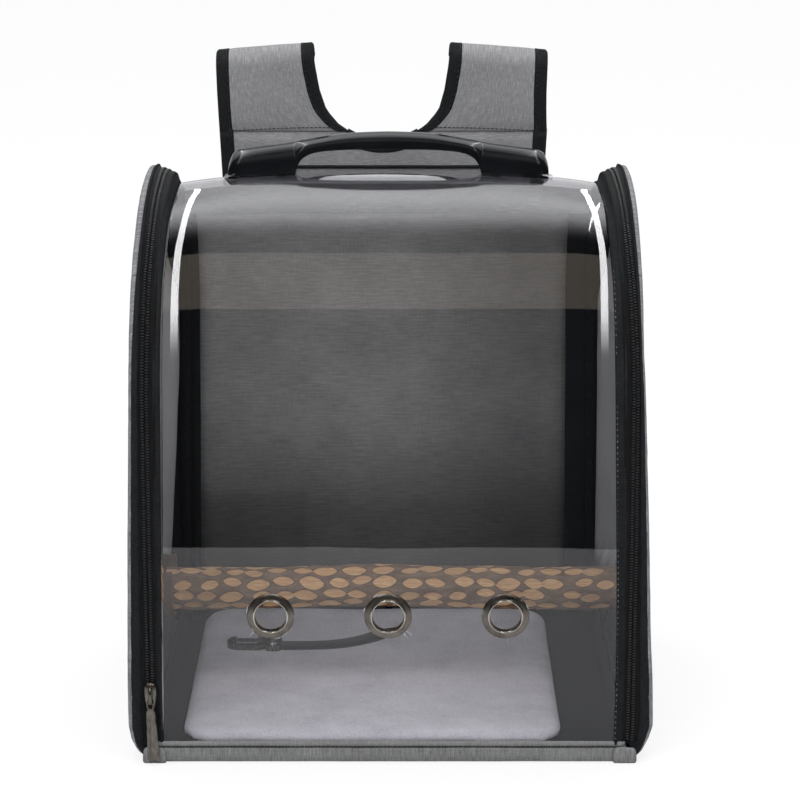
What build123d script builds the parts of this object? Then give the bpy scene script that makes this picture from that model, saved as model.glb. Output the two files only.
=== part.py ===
from build123d import *
import os
from math import sqrt, radians, tan

os.makedirs("parts", exist_ok=True)

# driving dimensions, mm. X left to right, -Y the clear window, +Y the straps, Z up
width = 344.0
depth = 256.0
height = 383.0

# the arch seen from the side: straight walls, then a half circle
half_width = width / 2
half_depth = depth / 2
spring_line = height - half_depth

# named clearances
moving_gap = 0.3
slide_gap = 0.3
soft_gap = 0.4

# sheet and cloth thicknesses
window_thick = 1.2
gusset_thick = 1.8
door_thick = 3.5
lining_thick = 1.0
coil_proud = 0.6
lip_thick = 1.0

# how far a cutter runs past what it cuts
past = 30.0

# stations across the width, measured from the middle
coil_set_in = 12.0
seam_set_in = 23.0
back_set_in = 34.0
window_lap = 3.0
door_inner = half_width - door_thick
coil_x = half_width - coil_set_in
door_edge = coil_x + moving_gap / 2
body_edge = coil_x - moving_gap / 2
seam_x = half_width - seam_set_in
window_half = seam_x + window_lap
back_half = half_width - back_set_in

# base
base_thick = 5.0
rim_height = 13.0
rim_wall = 3.0
lip_height = 15.5
lip_lap = 2.0
door_foot = 3.0
base_set_in = 6.5
base_half_x = door_inner - base_set_in
rim_inner = window_thick + gusset_thick + moving_gap
board_thick = 3.0
board_set_in_x = 6.0
board_set_in_y = 10.0
board_corner = 8.0
board_top = base_thick + board_thick
mat_thick = 10.0
mat_room_x = 86.0
mat_room_y = 20.0
mat_corner = 18.0
mat_edge = 3.0
mat_size_x = width - mat_room_x
mat_size_y = depth - mat_room_y
mat_shift = -10.0

# where the window ends on the rear of the arch
window_wrap = 0.77
window_end_y = half_depth * window_wrap
window_end_z = spring_line + sqrt(half_depth ** 2 - window_end_y ** 2)


def block(x0, x1, y0, y1, z0, z1, mode=Mode.ADD):
    # a plain block between two corners
    with Locations(((x0 + x1) / 2, (y0 + y1) / 2, (z0 + z1) / 2)):
        Box(x1 - x0, y1 - y0, z1 - z0, mode=mode)


def arch_face(inset, foot, mode=Mode.ADD):
    # the arched outline of the carrier from the side, drawn on a YZ plane
    r = half_depth - inset
    with Locations((0, (foot + spring_line) / 2)):
        Rectangle(2 * r, spring_line - foot, mode=mode)
    with Locations((0, spring_line)):
        Circle(r, mode=mode)


def arch_band(x0, x1, outer, inner, foot):
    # a band that follows the arch, open at the foot
    with BuildSketch(Plane.YZ.offset(x0)) as band:
        arch_face(outer, foot)
        arch_face(inner, foot - past, mode=Mode.SUBTRACT)
    extrude(band.sketch, amount=x1 - x0)


def span(side, near, far):
    # stations near and far from the middle, put on the left (-1) or right (+1)
    return (near, far) if side > 0 else (-far, -near)


def save(builder, name):
    builder.part.label = name
    export_step(builder.part, f"parts/{name}.step")


# ---------------------------------------------------------------- base
with BuildPart() as base_tray:
    block(-base_half_x, base_half_x, -half_depth + rim_inner, half_depth - rim_inner, 0, base_thick)
    for s in (-1, 1):
        y0, y1 = span(s, half_depth - rim_inner - rim_wall, half_depth)
        block(-body_edge, body_edge, y0, y1, 0, rim_height)
        y0, y1 = span(s, half_depth, half_depth + lip_thick)
        block(-seam_x + lip_lap, seam_x - lip_lap, y0, y1, 0, lip_height)
save(base_tray, "base_tray")

with BuildPart() as base_board:
    board_x = base_half_x - board_set_in_x
    board_y = half_depth - board_set_in_y
    block(-board_x, board_x, -board_y, board_y, base_thick, board_top)
    fillet(base_board.edges().filter_by(Axis.Z), board_corner)
save(base_board, "base_board")

with BuildPart() as floor_mat:
    with BuildSketch(Plane.XY.offset(board_top)):
        with Locations((mat_shift, 0)):
            RectangleRounded(mat_size_x, mat_size_y, mat_corner)
    extrude(amount=mat_thick)
    fillet(floor_mat.edges().group_by(Axis.Z)[-1], mat_edge)
save(floor_mat, "floor_mat")

# cloth tabs over the lower ends of the gussets, one solid at each corner
tab_short = 0.5
with BuildPart() as corner_tabs:
    for sx in (-1, 1):
        for sy in (-1, 1):
            x0, x1 = span(sx, seam_x - lip_lap, body_edge)
            y0, y1 = span(sy, half_depth, half_depth + lip_thick)
            block(x0, x1, y0, y1, 0, lip_height - tab_short)
save(corner_tabs, "corner_tabs")

# ---------------------------------------------------------------- clear window
eyelet_z = 106.0
eyelet_spread = 0.2283
eyelet_pitch = width * eyelet_spread
eyelet_bore = 22.0
eyelet_outer = 32.0
barrel_wall = 0.8
barrel_gap = 0.2
barrel_outer = eyelet_bore + 2 * barrel_wall
eyelet_hole = barrel_outer + 2 * barrel_gap
eyelet_places = ((-eyelet_pitch, eyelet_z), (0, eyelet_z), (eyelet_pitch, eyelet_z))
flange_thick = 1.8
flange_edge = 0.7
washer_thick = 1.2
washer_short = 1.0
barrel_rise = 1.4

handle_y = 22.0
handle_depth = 28.0
handle_half = 111.0
grip_half = 64.0
screw_x = (handle_half + grip_half) / 2
screw_spread = 26.0
screw_size = 4.0
screw_gap = 0.25
screw_places = [
    (s * screw_x + t * screw_spread / 2, handle_y) for s in (-1, 1) for t in (-1, 1)
]

# one bent sheet, kept as its flat front and its arch, which meet face to face
with BuildPart() as clear_window:
    block(-window_half, window_half, -half_depth, -half_depth + window_thick, rim_height, spring_line)
    with BuildSketch(Plane.XZ.offset(half_depth - window_thick - past)):
        with Locations(*eyelet_places):
            Circle(eyelet_hole / 2)
    extrude(amount=2 * past, mode=Mode.SUBTRACT)
save(clear_window, "clear_window")

with BuildPart() as window_arch:
    arch_band(-window_half, window_half, 0, window_thick, rim_height)
    block(-width, width, -depth, depth, 0, spring_line, mode=Mode.SUBTRACT)
    block(-width, width, window_end_y, depth, 0, height + past, mode=Mode.SUBTRACT)
    with BuildSketch(Plane.XY.offset(height - past)):
        with Locations(*screw_places):
            Circle(screw_size / 2 + screw_gap)
    extrude(amount=2 * past, mode=Mode.SUBTRACT)
save(window_arch, "window_arch")

with BuildPart() as eyelet_flanges:
    with BuildSketch(Plane.XZ.offset(half_depth)) as flange_face:
        with Locations(*eyelet_places):
            Circle(eyelet_outer / 2)
            Circle(eyelet_bore / 2, mode=Mode.SUBTRACT)
    extrude(amount=flange_thick)
    fillet(eyelet_flanges.edges().filter_by(GeomType.CIRCLE).group_by(Axis.Y)[0], flange_edge)
    with BuildSketch(Plane.XZ.offset(half_depth)):
        with Locations(*eyelet_places):
            Circle(barrel_outer / 2)
            Circle(eyelet_bore / 2, mode=Mode.SUBTRACT)
    extrude(amount=-(window_thick + barrel_rise))
save(eyelet_flanges, "eyelet_flanges")

with BuildPart() as eyelet_washers:
    with BuildSketch(Plane.XZ.offset(half_depth - window_thick)):
        with Locations(*eyelet_places):
            Circle(eyelet_outer / 2 - washer_short)
            Circle(barrel_outer / 2, mode=Mode.SUBTRACT)
    extrude(amount=-washer_thick)
save(eyelet_washers, "eyelet_washers")

# ---------------------------------------------------------------- gussets and zips, body half
tape_thick = 0.5
tape_wide = 6.0
tape_gap = 0.3
coil_wide = 2.6
foot_gap = 0.1
tape_outer = window_thick - tape_thick
zip_foot = lip_height + foot_gap


def body_gusset(side):
    x0, x1 = span(side, seam_x, body_edge)
    arch_band(x0, x1, window_thick, window_thick + gusset_thick, rim_height)
    # the band is wider behind, up to the edge of the back panel
    b0, b1 = span(side, back_half, seam_x)
    with BuildSketch(Plane.YZ.offset(b0)) as wide:
        arch_face(window_thick, rim_height)
        arch_face(window_thick + gusset_thick, rim_height - past, mode=Mode.SUBTRACT)
        with Locations((-half_depth + window_end_y - half_depth, spring_line)):
            Rectangle(2 * depth, 4 * height, mode=Mode.SUBTRACT)
    extrude(wide.sketch, amount=b1 - b0)


def zip_half(side, inner_x, outer_x, coil_in, coil_out):
    x0, x1 = span(side, inner_x, outer_x)
    arch_band(x0, x1, tape_outer, window_thick, zip_foot)
    c0, c1 = span(side, coil_in, coil_out)
    arch_band(c0, c1, -coil_proud, tape_outer, zip_foot)


with BuildPart() as gusset_left:
    body_gusset(-1)
save(gusset_left, "gusset_left")

with BuildPart() as gusset_right:
    body_gusset(1)
save(gusset_right, "gusset_right")

with BuildPart() as zipper_left_body:
    zip_half(-1, window_half + tape_gap, body_edge, body_edge - coil_wide, body_edge)
save(zipper_left_body, "zipper_left_body")

with BuildPart() as zipper_right_body:
    zip_half(1, window_half + tape_gap, body_edge, body_edge - coil_wide, body_edge)
save(zipper_right_body, "zipper_right_body")

# ---------------------------------------------------------------- side doors
hinge_z = door_foot
lining_rise = 3.0
strip_short = 12.0
strip_low = 0.8
perch_r = 16.0
perch_z = 80.0
perch_set_in = 12.0
perch_tip = half_width - perch_set_in
cradle_gap = 2.0
cradle_r = perch_r + cradle_gap
cradle_wall = 3.0
cradle_reach = 6.0
cradle_lip = perch_tip - cradle_reach
screw_hole = 3.15


def door_panel(side, screw):
    x0, x1 = span(side, door_inner, half_width)
    with BuildSketch(Plane.YZ.offset(x0)) as panel:
        arch_face(0, door_foot)
        if screw:
            with Locations((0, perch_z)):
                Circle(screw_hole, mode=Mode.SUBTRACT)
    extrude(panel.sketch, amount=x1 - x0)


def door_lining(side, screw):
    x0, x1 = span(side, door_inner - lining_thick, door_inner)
    with BuildSketch(Plane.YZ.offset(x0)) as sheet:
        arch_face(window_thick + gusset_thick, door_foot + lining_rise)
        if screw:
            with Locations((0, perch_z)):
                Circle(screw_hole, mode=Mode.SUBTRACT)
    extrude(sheet.sketch, amount=x1 - x0)


def door_gusset(side):
    x0, x1 = span(side, door_edge, door_inner)
    arch_band(x0, x1, window_thick, window_thick + gusset_thick, door_foot)


with BuildPart() as door_left_panel:
    door_panel(-1, False)
save(door_left_panel, "door_left_panel")

with BuildPart() as door_right_panel:
    door_panel(1, True)
save(door_right_panel, "door_right_panel")

with BuildPart() as door_left_lining:
    door_lining(-1, False)
save(door_left_lining, "door_left_lining")

with BuildPart() as door_right_lining:
    door_lining(1, True)
save(door_right_lining, "door_right_lining")

with BuildPart() as door_left_gusset:
    door_gusset(-1)
save(door_left_gusset, "door_left_gusset")

with BuildPart() as door_right_gusset:
    door_gusset(1)
save(door_right_gusset, "door_right_gusset")

with BuildPart() as zipper_left_door:
    zip_half(-1, door_edge, door_edge + tape_wide, door_edge, door_edge + coil_wide)
save(zipper_left_door, "zipper_left_door")

with BuildPart() as zipper_right_door:
    zip_half(1, door_edge, door_edge + tape_wide, door_edge, door_edge + coil_wide)
save(zipper_right_door, "zipper_right_door")

# cloth strip under each door foot, sewn to the side of the base
for side, name in ((-1, "hinge_strip_left"), (1, "hinge_strip_right")):
    with BuildPart() as hinge_strip:
        x0, x1 = span(side, base_half_x, half_width)
        block(x0, x1, -half_depth + strip_short, half_depth - strip_short, strip_low, door_foot - soft_gap)
    save(hinge_strip, name)

# ---------------------------------------------------------------- zip sliders and pulls
slider_w = 8.5
slider_len = 19.0
slider_low = 40.0
slider_back = coil_proud + slide_gap
slider_thick = 3.2
slider_corner = 1.6
slider_front = slider_back + slider_thick
bridge_rise = 3.4
bridge_w = 2.6
bridge_foot = 3.0
bridge_len = 12.0
bridge_wall = 1.2
bridge_end = 1.8
join = 0.2
link_w = 6.4
link_len = 9.6
link_wire = 1.2
link_corner = 2.2
tab_top = 7.4
tab_narrow = 5.6
tab_wide = 9.0
tab_tip = 6.4
tab_len = 33.5
tab_slope = 2.4
tab_thick = 1.8
rivet_drop = 12.0
rivet_r = 1.7
rivet_thick = 3.0
pull_axis_z = slider_low + bridge_foot + bridge_end + 1.4
pull_axis_off = half_depth + slider_front + (bridge_rise - bridge_wall) / 2


def slider_body(side, face):
    # face -1: on the front run, +1: on the rear run
    x = side * coil_x
    y0, y1 = span(face, half_depth + slider_back, half_depth + slider_front)
    block(x - slider_w / 2, x + slider_w / 2, y0, y1, slider_low, slider_low + slider_len)
    fillet(plate_corners(), slider_corner)
    # the bridge that holds the pull
    z0 = slider_low + bridge_foot
    z1 = z0 + bridge_len
    y0, y1 = span(face, half_depth + slider_front - join, half_depth + slider_front + bridge_rise)
    block(x - bridge_w / 2, x + bridge_w / 2, y0, y1, z0, z1)
    y0, y1 = span(face, half_depth + slider_front, half_depth + slider_front + bridge_rise - bridge_wall)
    block(x - bridge_w, x + bridge_w, y0, y1, z0 + bridge_end, z1 - bridge_end, mode=Mode.SUBTRACT)


def plate_corners():
    # edges along Y of the slider plate
    return BuildPart._get_context().part.edges().filter_by(Axis.Y)


def slider_pull(side, face):
    # a wire link through the bridge, then a long tapered tab with a rivet
    x = side * coil_x
    y = face * pull_axis_off
    arm_x = link_w / 2 - link_wire
    with BuildSketch(Plane.XZ.offset(-y)) as link:
        with Locations((x, pull_axis_z + link_wire / 2 - link_len / 2)):
            RectangleRounded(link_w, link_len, link_corner)
        with Locations((x, pull_axis_z + link_wire / 2 + join - link_len / 2)):
            Rectangle(2 * arm_x, link_len - 2 * link_wire, mode=Mode.SUBTRACT)
        with Locations((x, pull_axis_z)):
            Rectangle(2 * arm_x, 2 * link_wire, mode=Mode.SUBTRACT)
    extrude(link.sketch, amount=link_wire / 2, both=True)
    # the round bar the link turns on
    with BuildSketch(Plane.YZ.offset(x - arm_x - link_wire / 2)) as bar:
        with Locations((y, pull_axis_z)):
            Circle(link_wire / 2)
    extrude(bar.sketch, amount=2 * arm_x + link_wire)
    tab_foot = pull_axis_z - tab_top - tab_len
    with BuildSketch(Plane.XZ.offset(-y)) as tab:
        with BuildLine():
            Polyline(
                (x - tab_narrow / 2, pull_axis_z - tab_top),
                (x + tab_narrow / 2, pull_axis_z - tab_top),
                (x + tab_wide / 2, tab_foot),
                (x + tab_tip / 2, tab_foot - tab_slope),
                (x - tab_tip / 2, tab_foot - tab_slope),
                (x - tab_wide / 2, tab_foot),
                close=True,
            )
        make_face()
    extrude(tab.sketch, amount=tab_thick / 2, both=True)
    with BuildSketch(Plane.XZ.offset(-y)) as rivet:
        with Locations((x, pull_axis_z - rivet_drop)):
            Circle(rivet_r)
    extrude(rivet.sketch, amount=rivet_thick / 2, both=True)


for side, face, name in ((-1, -1, "left"), (1, 1, "right")):
    with BuildPart() as zip_slider:
        slider_body(side, face)
    save(zip_slider, f"zip_slider_{name}")
    with BuildPart() as zip_pull:
        slider_pull(side, face)
    save(zip_pull, f"zip_pull_{name}")

# ---------------------------------------------------------------- perch and its fittings
inner_washer = 2.0
outer_washer = 1.2
washer_r = 13.0
perch_right = door_inner - lining_thick - inner_washer
perch_edge = 1.2
insert_len = 18.0
insert_r = 5.0
tip_room = 6.0
tip_past = 3.0
thread_r = 3.0
thread_gap = 0.05
head_r = 11.0
head_thick = 3.0
head_gap = 0.1
grip_cuts = 14
grip_cut_r = 1.1
slot_wide = 1.4
slot_deep = 1.0

with BuildPart() as perch:
    with BuildSketch(Plane.YZ.offset(-perch_tip)):
        with Locations((0, perch_z)):
            Circle(perch_r)
    extrude(amount=perch_tip + perch_right)
    chamfer(perch.edges().filter_by(GeomType.CIRCLE), perch_edge)
    with BuildSketch(Plane.YZ.offset(perch_right - insert_len)):
        with Locations((0, perch_z)):
            Circle(insert_r)
    extrude(amount=insert_len, mode=Mode.SUBTRACT)
    with BuildSketch(Plane.YZ.offset(perch_right - insert_len - tip_room)):
        with Locations((0, perch_z)):
            Circle(thread_r + moving_gap)
    extrude(amount=tip_room, mode=Mode.SUBTRACT)
save(perch, "perch")

with BuildPart() as perch_insert:
    with BuildSketch(Plane.YZ.offset(perch_right - insert_len)):
        with Locations((0, perch_z)):
            Circle(insert_r)
            Circle(thread_r + thread_gap, mode=Mode.SUBTRACT)
    extrude(amount=insert_len)
save(perch_insert, "perch_insert")

with BuildPart() as perch_washer_inner:
    with BuildSketch(Plane.YZ.offset(perch_right)):
        with Locations((0, perch_z)):
            Circle(washer_r)
            Circle(screw_hole, mode=Mode.SUBTRACT)
    extrude(amount=door_inner - lining_thick - perch_right)
save(perch_washer_inner, "perch_washer_inner")

with BuildPart() as perch_washer_outer:
    with BuildSketch(Plane.YZ.offset(half_width)):
        with Locations((0, perch_z)):
            Circle(washer_r)
            Circle(screw_hole, mode=Mode.SUBTRACT)
    extrude(amount=outer_washer)
save(perch_washer_outer, "perch_washer_outer")

screw_face = half_width + outer_washer + head_gap
screw_tip = perch_right - insert_len - tip_past
with BuildPart() as perch_screw:
    with BuildSketch(Plane.YZ.offset(screw_face)):
        with Locations((0, perch_z)):
            Circle(head_r)
            with PolarLocations(head_r + grip_cut_r / 2, grip_cuts):
                Circle(grip_cut_r, mode=Mode.SUBTRACT)
    extrude(amount=head_thick)
    with BuildSketch(Plane.YZ.offset(screw_face + head_thick)):
        with Locations((0, perch_z)):
            Rectangle(2 * head_r, slot_wide)
    extrude(amount=-slot_deep, mode=Mode.SUBTRACT)
    with BuildSketch(Plane.YZ.offset(screw_tip)):
        with Locations((0, perch_z)):
            Circle(thread_r)
    extrude(amount=screw_face - screw_tip)
save(perch_screw, "perch_screw")

# open cradle on the left door, the perch end lifts out of it upwards
ear_reach = 11.0
ear_high = 14.0
ear_thick = 1.8
ear_hole = 1.75
rivet_head_r = 3.2
rivet_head = 1.2
cradle_face = -door_inner + lining_thick
cradle_out = cradle_r + cradle_wall
ear_places = [(s * (cradle_out + ear_reach / 2), perch_z) for s in (-1, 1)]

with BuildPart() as perch_cradle:
    with BuildSketch(Plane.YZ.offset(cradle_face)):
        with Locations((0, perch_z)):
            Circle(cradle_out)
        with Locations((0, perch_z + cradle_r / 2)):
            Rectangle(2 * cradle_out, cradle_r)
        with Locations((0, perch_z)):
            Circle(cradle_r, mode=Mode.SUBTRACT)
        with Locations((0, perch_z + cradle_r)):
            Rectangle(2 * cradle_r, 2 * cradle_r, mode=Mode.SUBTRACT)
        with Locations((0, perch_z + 2 * cradle_r)):
            Rectangle(4 * cradle_r, 2 * cradle_r, mode=Mode.SUBTRACT)
    extrude(amount=door_inner - lining_thick - cradle_lip)
    with BuildSketch(Plane.YZ.offset(cradle_face)):
        with Locations((0, perch_z)):
            Circle(cradle_out)
        with Locations((0, perch_z)):
            Rectangle(2 * (cradle_out + ear_reach), ear_high)
    extrude(amount=ear_thick)
    with BuildSketch(Plane.YZ.offset(cradle_face)):
        with Locations(*ear_places):
            Circle(ear_hole)
    extrude(amount=ear_thick, mode=Mode.SUBTRACT)
save(perch_cradle, "perch_cradle")

with BuildPart() as cradle_rivets:
    with BuildSketch(Plane.YZ.offset(cradle_face)):
        with Locations(*ear_places):
            Circle(ear_hole)
    extrude(amount=ear_thick)
    with BuildSketch(Plane.YZ.offset(cradle_face + ear_thick)):
        with Locations(*ear_places):
            Circle(rivet_head_r)
    extrude(amount=rivet_head)
save(cradle_rivets, "cradle_rivets")

# ---------------------------------------------------------------- back
back_thick = 3.0
binding_thick = 0.8
binding_up = 7.0
binding_down = 9.0
pad_thick = 9.0
pad_set_in = 30.0
pad_rise = 42.0
pad_drop = 34.0
pad_corner = 16.0
pad_edge = 4.0

with BuildPart() as back_panel:
    with BuildSketch(Plane.YZ.offset(-back_half)):
        arch_face(0, rim_height)
        arch_face(back_thick, rim_height - past, mode=Mode.SUBTRACT)
        with Locations((-half_depth + window_end_y - half_depth, spring_line)):
            Rectangle(2 * depth, 4 * height, mode=Mode.SUBTRACT)
    extrude(amount=2 * back_half)
save(back_panel, "back_panel")

# cloth binding over the joint between the window and the back panel
with BuildPart() as rear_binding:
    with BuildSketch(Plane.YZ.offset(-window_half)):
        arch_face(-binding_thick, rim_height)
        arch_face(0, rim_height - past, mode=Mode.SUBTRACT)
        with Locations((-2 * depth + window_end_y - binding_up, spring_line)):
            Rectangle(4 * depth, 4 * height, mode=Mode.SUBTRACT)
        with Locations((0, window_end_z - binding_down - 2 * height)):
            Rectangle(4 * depth, 4 * height, mode=Mode.SUBTRACT)
    extrude(amount=2 * window_half)
save(rear_binding, "rear_binding")

with BuildPart() as back_pad:
    pad_half = back_half - pad_set_in
    block(-pad_half, pad_half, half_depth, half_depth + pad_thick,
          rim_height + pad_rise, spring_line - pad_drop)
    fillet(back_pad.edges().filter_by(Axis.Y), pad_corner)
    fillet(back_pad.edges().group_by(Axis.Y)[-1], pad_edge)
save(back_pad, "back_pad")

# ---------------------------------------------------------------- carry handle
grip_rise = 22.5
grip_top = height + grip_rise
grip_thick = 10.5
foot_height = 10.0
foot_side = 4.0
foot_slope = 6.0
gap_side = 2.5
gap_step = 3.0
gap_slope = 2.0
pilot_deep = 5.5
# stations across the grip, as shares of its half length, with heights over the arch
top_curve = ((0.68, 15.5), (0.43, 19.2))
under_curve = ((0.75, 9.5), (0.45, 11.3))
plate_thick = 2.0
plate_short = 2.0
plate_half_y = 12.0
head_high = 2.4
head_set_in = 4.0
screw_past = 5.0


def grip_curve(end_x, end_z, stations, half, middle_z):
    # points of a curve over the middle, the same on the left and the right
    side = [(share * half, height + rise) for share, rise in stations]
    left = [(-x, z) for x, z in side]
    return [(-end_x, end_z), *left, (0, middle_z), *reversed(side), (end_x, end_z)]


with BuildPart() as carry_handle:
    with BuildSketch(Plane.XZ.offset(-handle_y)) as handle_side:
        top_x = handle_half - foot_slope
        top_z = height + foot_height
        with BuildLine():
            Polyline((-handle_half, height - past), (-handle_half, height + foot_side), (-top_x, top_z))
            Spline(*grip_curve(top_x, top_z, top_curve, handle_half, grip_top))
            Polyline((top_x, top_z), (handle_half, height + foot_side), (handle_half, height - past),
                     (-handle_half, height - past))
        make_face()
        gap_x = grip_half - gap_slope
        gap_z = height + gap_side + gap_step
        with BuildLine():
            Polyline((-grip_half, height - 2 * past), (-grip_half, height + gap_side), (-gap_x, gap_z))
            Spline(*grip_curve(gap_x, gap_z, under_curve, grip_half, grip_top - grip_thick))
            Polyline((gap_x, gap_z), (grip_half, height + gap_side), (grip_half, height - 2 * past),
                     (-grip_half, height - 2 * past))
        make_face(mode=Mode.SUBTRACT)
    extrude(amount=handle_depth / 2, both=True)
    with BuildSketch(Plane.YZ.offset(-handle_half - past)):
        arch_face(0, 0)
    extrude(amount=2 * (handle_half + past), mode=Mode.SUBTRACT)
    # screw pilot holes from below
    with BuildSketch(Plane.XY.offset(height - past)):
        with Locations(*screw_places):
            Circle(screw_size / 2)
    extrude(amount=past + pilot_deep, mode=Mode.SUBTRACT)
save(carry_handle, "carry_handle")

# a curved plate inside the window spreads the load of each handle foot
plate_inset = window_thick
plate_inner = plate_inset + plate_thick
with BuildPart() as handle_plates:
    for s in (-1, 1):
        x0, x1 = span(s, grip_half + plate_short, handle_half - plate_short)
        arch_band(x0, x1, plate_inset, plate_inner, 0)
    block(-width, width, handle_y - plate_half_y, handle_y + plate_half_y, spring_line + past, height,
          mode=Mode.INTERSECT)
    with BuildSketch(Plane.XY.offset(height - past)):
        with Locations(*screw_places):
            Circle(screw_size / 2)
    extrude(amount=2 * past, mode=Mode.SUBTRACT)
save(handle_plates, "handle_plates")

plate_low = spring_line + sqrt((half_depth - plate_inner) ** 2 - (handle_y + head_set_in) ** 2)
with BuildPart() as handle_screws:
    with BuildSketch(Plane.XY.offset(plate_low - head_high)):
        with Locations(*screw_places):
            Circle(screw_size)
    extrude(amount=head_high)
    with BuildSketch(Plane.XY.offset(plate_low)):
        with Locations(*screw_places):
            Circle(screw_size / 2)
    extrude(amount=height + screw_past - plate_low)
save(handle_screws, "handle_screws")

# ---------------------------------------------------------------- shoulder straps
strap_left_out = -126.5
strap_left_in = -58.5
strap_right_in = 46.5
strap_right_out = 118.5
notch_left = -28.0
notch_mid = -3.0
notch_right = 22.0
strap_y = half_depth
strap_thick = 6.0
yoke_thick = 5.0
yoke_taper = 6.0
seam_rise = 7.0
bend_rise = 57.0
notch_drop = 2.0
yoke_drop = 27.0
strap_seam_z = height + seam_rise
strap_bend_z = height + bend_rise
notch_low = height - notch_drop
yoke_foot = spring_line - yoke_drop
strap_bend_r = 12.5
flare_share = 0.32
flare_rise = 22.0
leg_foot = 52.0
strap_end_z = 150.0
rear_y = strap_y + 2 * strap_bend_r

with BuildPart() as strap_yoke:
    with BuildSketch(Plane.XZ.offset(-strap_y)):
        with BuildLine():
            Polyline(
                (notch_left, strap_seam_z),
                (strap_left_out, strap_seam_z),
                (strap_left_out + yoke_taper, yoke_foot),
                (strap_right_out - yoke_taper, yoke_foot),
                (strap_right_out, strap_seam_z),
                (notch_right, strap_seam_z),
            )
            Spline((notch_right, strap_seam_z), (notch_mid, notch_low), (notch_left, strap_seam_z),
                   tangents=((-0.8, -1.0), (-0.8, 1.0)))
        make_face()
    extrude(amount=-yoke_thick)
save(strap_yoke, "strap_yoke")


def shoulder_strap(outer, inner, flare):
    # outer and inner edges at the top, flare is the inner edge where the yoke begins
    mid = inner + (flare - inner) * flare_share
    with BuildSketch(Plane.XZ.offset(-strap_y)) as leaf:
        with BuildLine():
            Polyline((flare, strap_seam_z), (outer, strap_seam_z),
                     (outer, strap_bend_z), (inner, strap_bend_z))
            Spline((inner, strap_bend_z), (mid, strap_seam_z + flare_rise), (flare, strap_seam_z),
                   tangents=((0.0, -1.0), (flare - inner, -flare_rise)))
        make_face()
    extrude(leaf.sketch, amount=-strap_thick)
    low, high = min(outer, inner), max(outer, inner)
    with BuildSketch(Plane.YZ.offset(low)) as bend:
        with Locations((strap_y + strap_bend_r, strap_bend_z)):
            Circle(strap_bend_r)
            Circle(strap_bend_r - strap_thick, mode=Mode.SUBTRACT)
        with Locations((strap_y + strap_bend_r, strap_bend_z - strap_bend_r)):
            Rectangle(4 * strap_bend_r, 2 * strap_bend_r, mode=Mode.SUBTRACT)
    extrude(bend.sketch, amount=high - low)
    taper = (high - low - leg_foot) / 2
    with BuildSketch(Plane.XZ.offset(-rear_y)) as leg:
        with BuildLine():
            Polyline((low, strap_bend_z), (high, strap_bend_z), (high - taper, strap_end_z),
                     (low + taper, strap_end_z), close=True)
        make_face()
    extrude(leg.sketch, amount=strap_thick)


strap_sides = (
    ("left", strap_left_out, strap_left_in, notch_left),
    ("right", strap_right_out, strap_right_in, notch_right),
)
lock_high = 22.0
lock_wide = 34.0
lock_over = 0.5
lock_corner = 3.0
lock_slots = ((4.0, 9.0), (12.5, 17.0))
web_wide = 25.0
web_thick = 2.0
web_room = 1.0
web_set_in = 1.5
tail_len = 52.0
tail_rise = 8.0
anchor_out = 18.0
anchor_y = half_depth + anchor_out
anchor_low = 18.0
anchor_inner = 36.0
anchor_outer = 40.0
anchor_top = 44.0
anchor_side = 3.0
anchor_foot = 4.0
anchor_skin = 1.0
lock_foot = strap_end_z - lock_high

for side, outer, inner, flare in strap_sides:
    mid_x = (outer + inner) / 2
    with BuildPart() as strap:
        shoulder_strap(outer, inner, flare)
    save(strap, f"shoulder_strap_{side}")
    # ladder lock: a frame with three bars
    slot_half = web_wide / 2 + web_room
    y0 = rear_y - strap_thick + lock_over
    y1 = rear_y + lock_over
    with BuildPart() as lock:
        block(mid_x - lock_wide / 2, mid_x + lock_wide / 2, y0, y1, lock_foot, strap_end_z)
        for low, high in lock_slots:
            block(mid_x - slot_half, mid_x + slot_half, y0 - past, y1 + past,
                  lock_foot + low, lock_foot + high, mode=Mode.SUBTRACT)
        fillet(lock.edges().filter_by(Axis.Y).sort_by(Axis.Z)[-2:], lock_corner)
    save(lock, f"ladder_lock_{side}")
    # webbing from the lock down to the anchor, with a free tail
    web_y = rear_y - web_set_in
    with BuildPart() as webbing:
        with BuildSketch(Plane.YZ.offset(mid_x - web_wide / 2)) as run:
            with BuildLine():
                Polyline((anchor_y - web_thick, anchor_top), (anchor_y, anchor_top), (web_y, lock_foot),
                         (web_y - web_thick, lock_foot), close=True)
            make_face()
        extrude(run.sketch, amount=web_wide)
        block(mid_x - web_wide / 2, mid_x + web_wide / 2, y1, y1 + web_thick,
              lock_foot - tail_len, lock_foot + tail_rise)
    save(webbing, f"strap_webbing_{side}")

# cloth tabs that tie the webbing to the foot of the back panel
with BuildPart() as webbing_anchors:
    for side, outer, inner, flare in strap_sides:
        mid_x = (outer + inner) / 2
        with BuildSketch(Plane.YZ.offset(mid_x - web_wide / 2 - anchor_side)) as tab:
            with BuildLine():
                Polyline(
                    (half_depth, anchor_low),
                    (half_depth + anchor_foot, anchor_low),
                    (anchor_y + anchor_skin, anchor_outer),
                    (anchor_y + anchor_skin, anchor_top),
                    (anchor_y - anchor_foot, anchor_top),
                    (half_depth, anchor_inner),
                    close=True,
                )
            make_face()
        extrude(tab.sketch, amount=web_wide + 2 * anchor_side)
save(webbing_anchors, "webbing_anchors")

# ---------------------------------------------------------------- safety tether on the mat
mat_top = board_top + mat_thick
tether_wide = 16.0
tether_thick = 1.6
patch_gap = 0.5
patch_face = mat_size_y / 2 + patch_gap
patch_x = 10.0
patch_half = 14.0
patch_drop = 2.0
patch_rise = 24.0
patch_corner = 5.0
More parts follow.
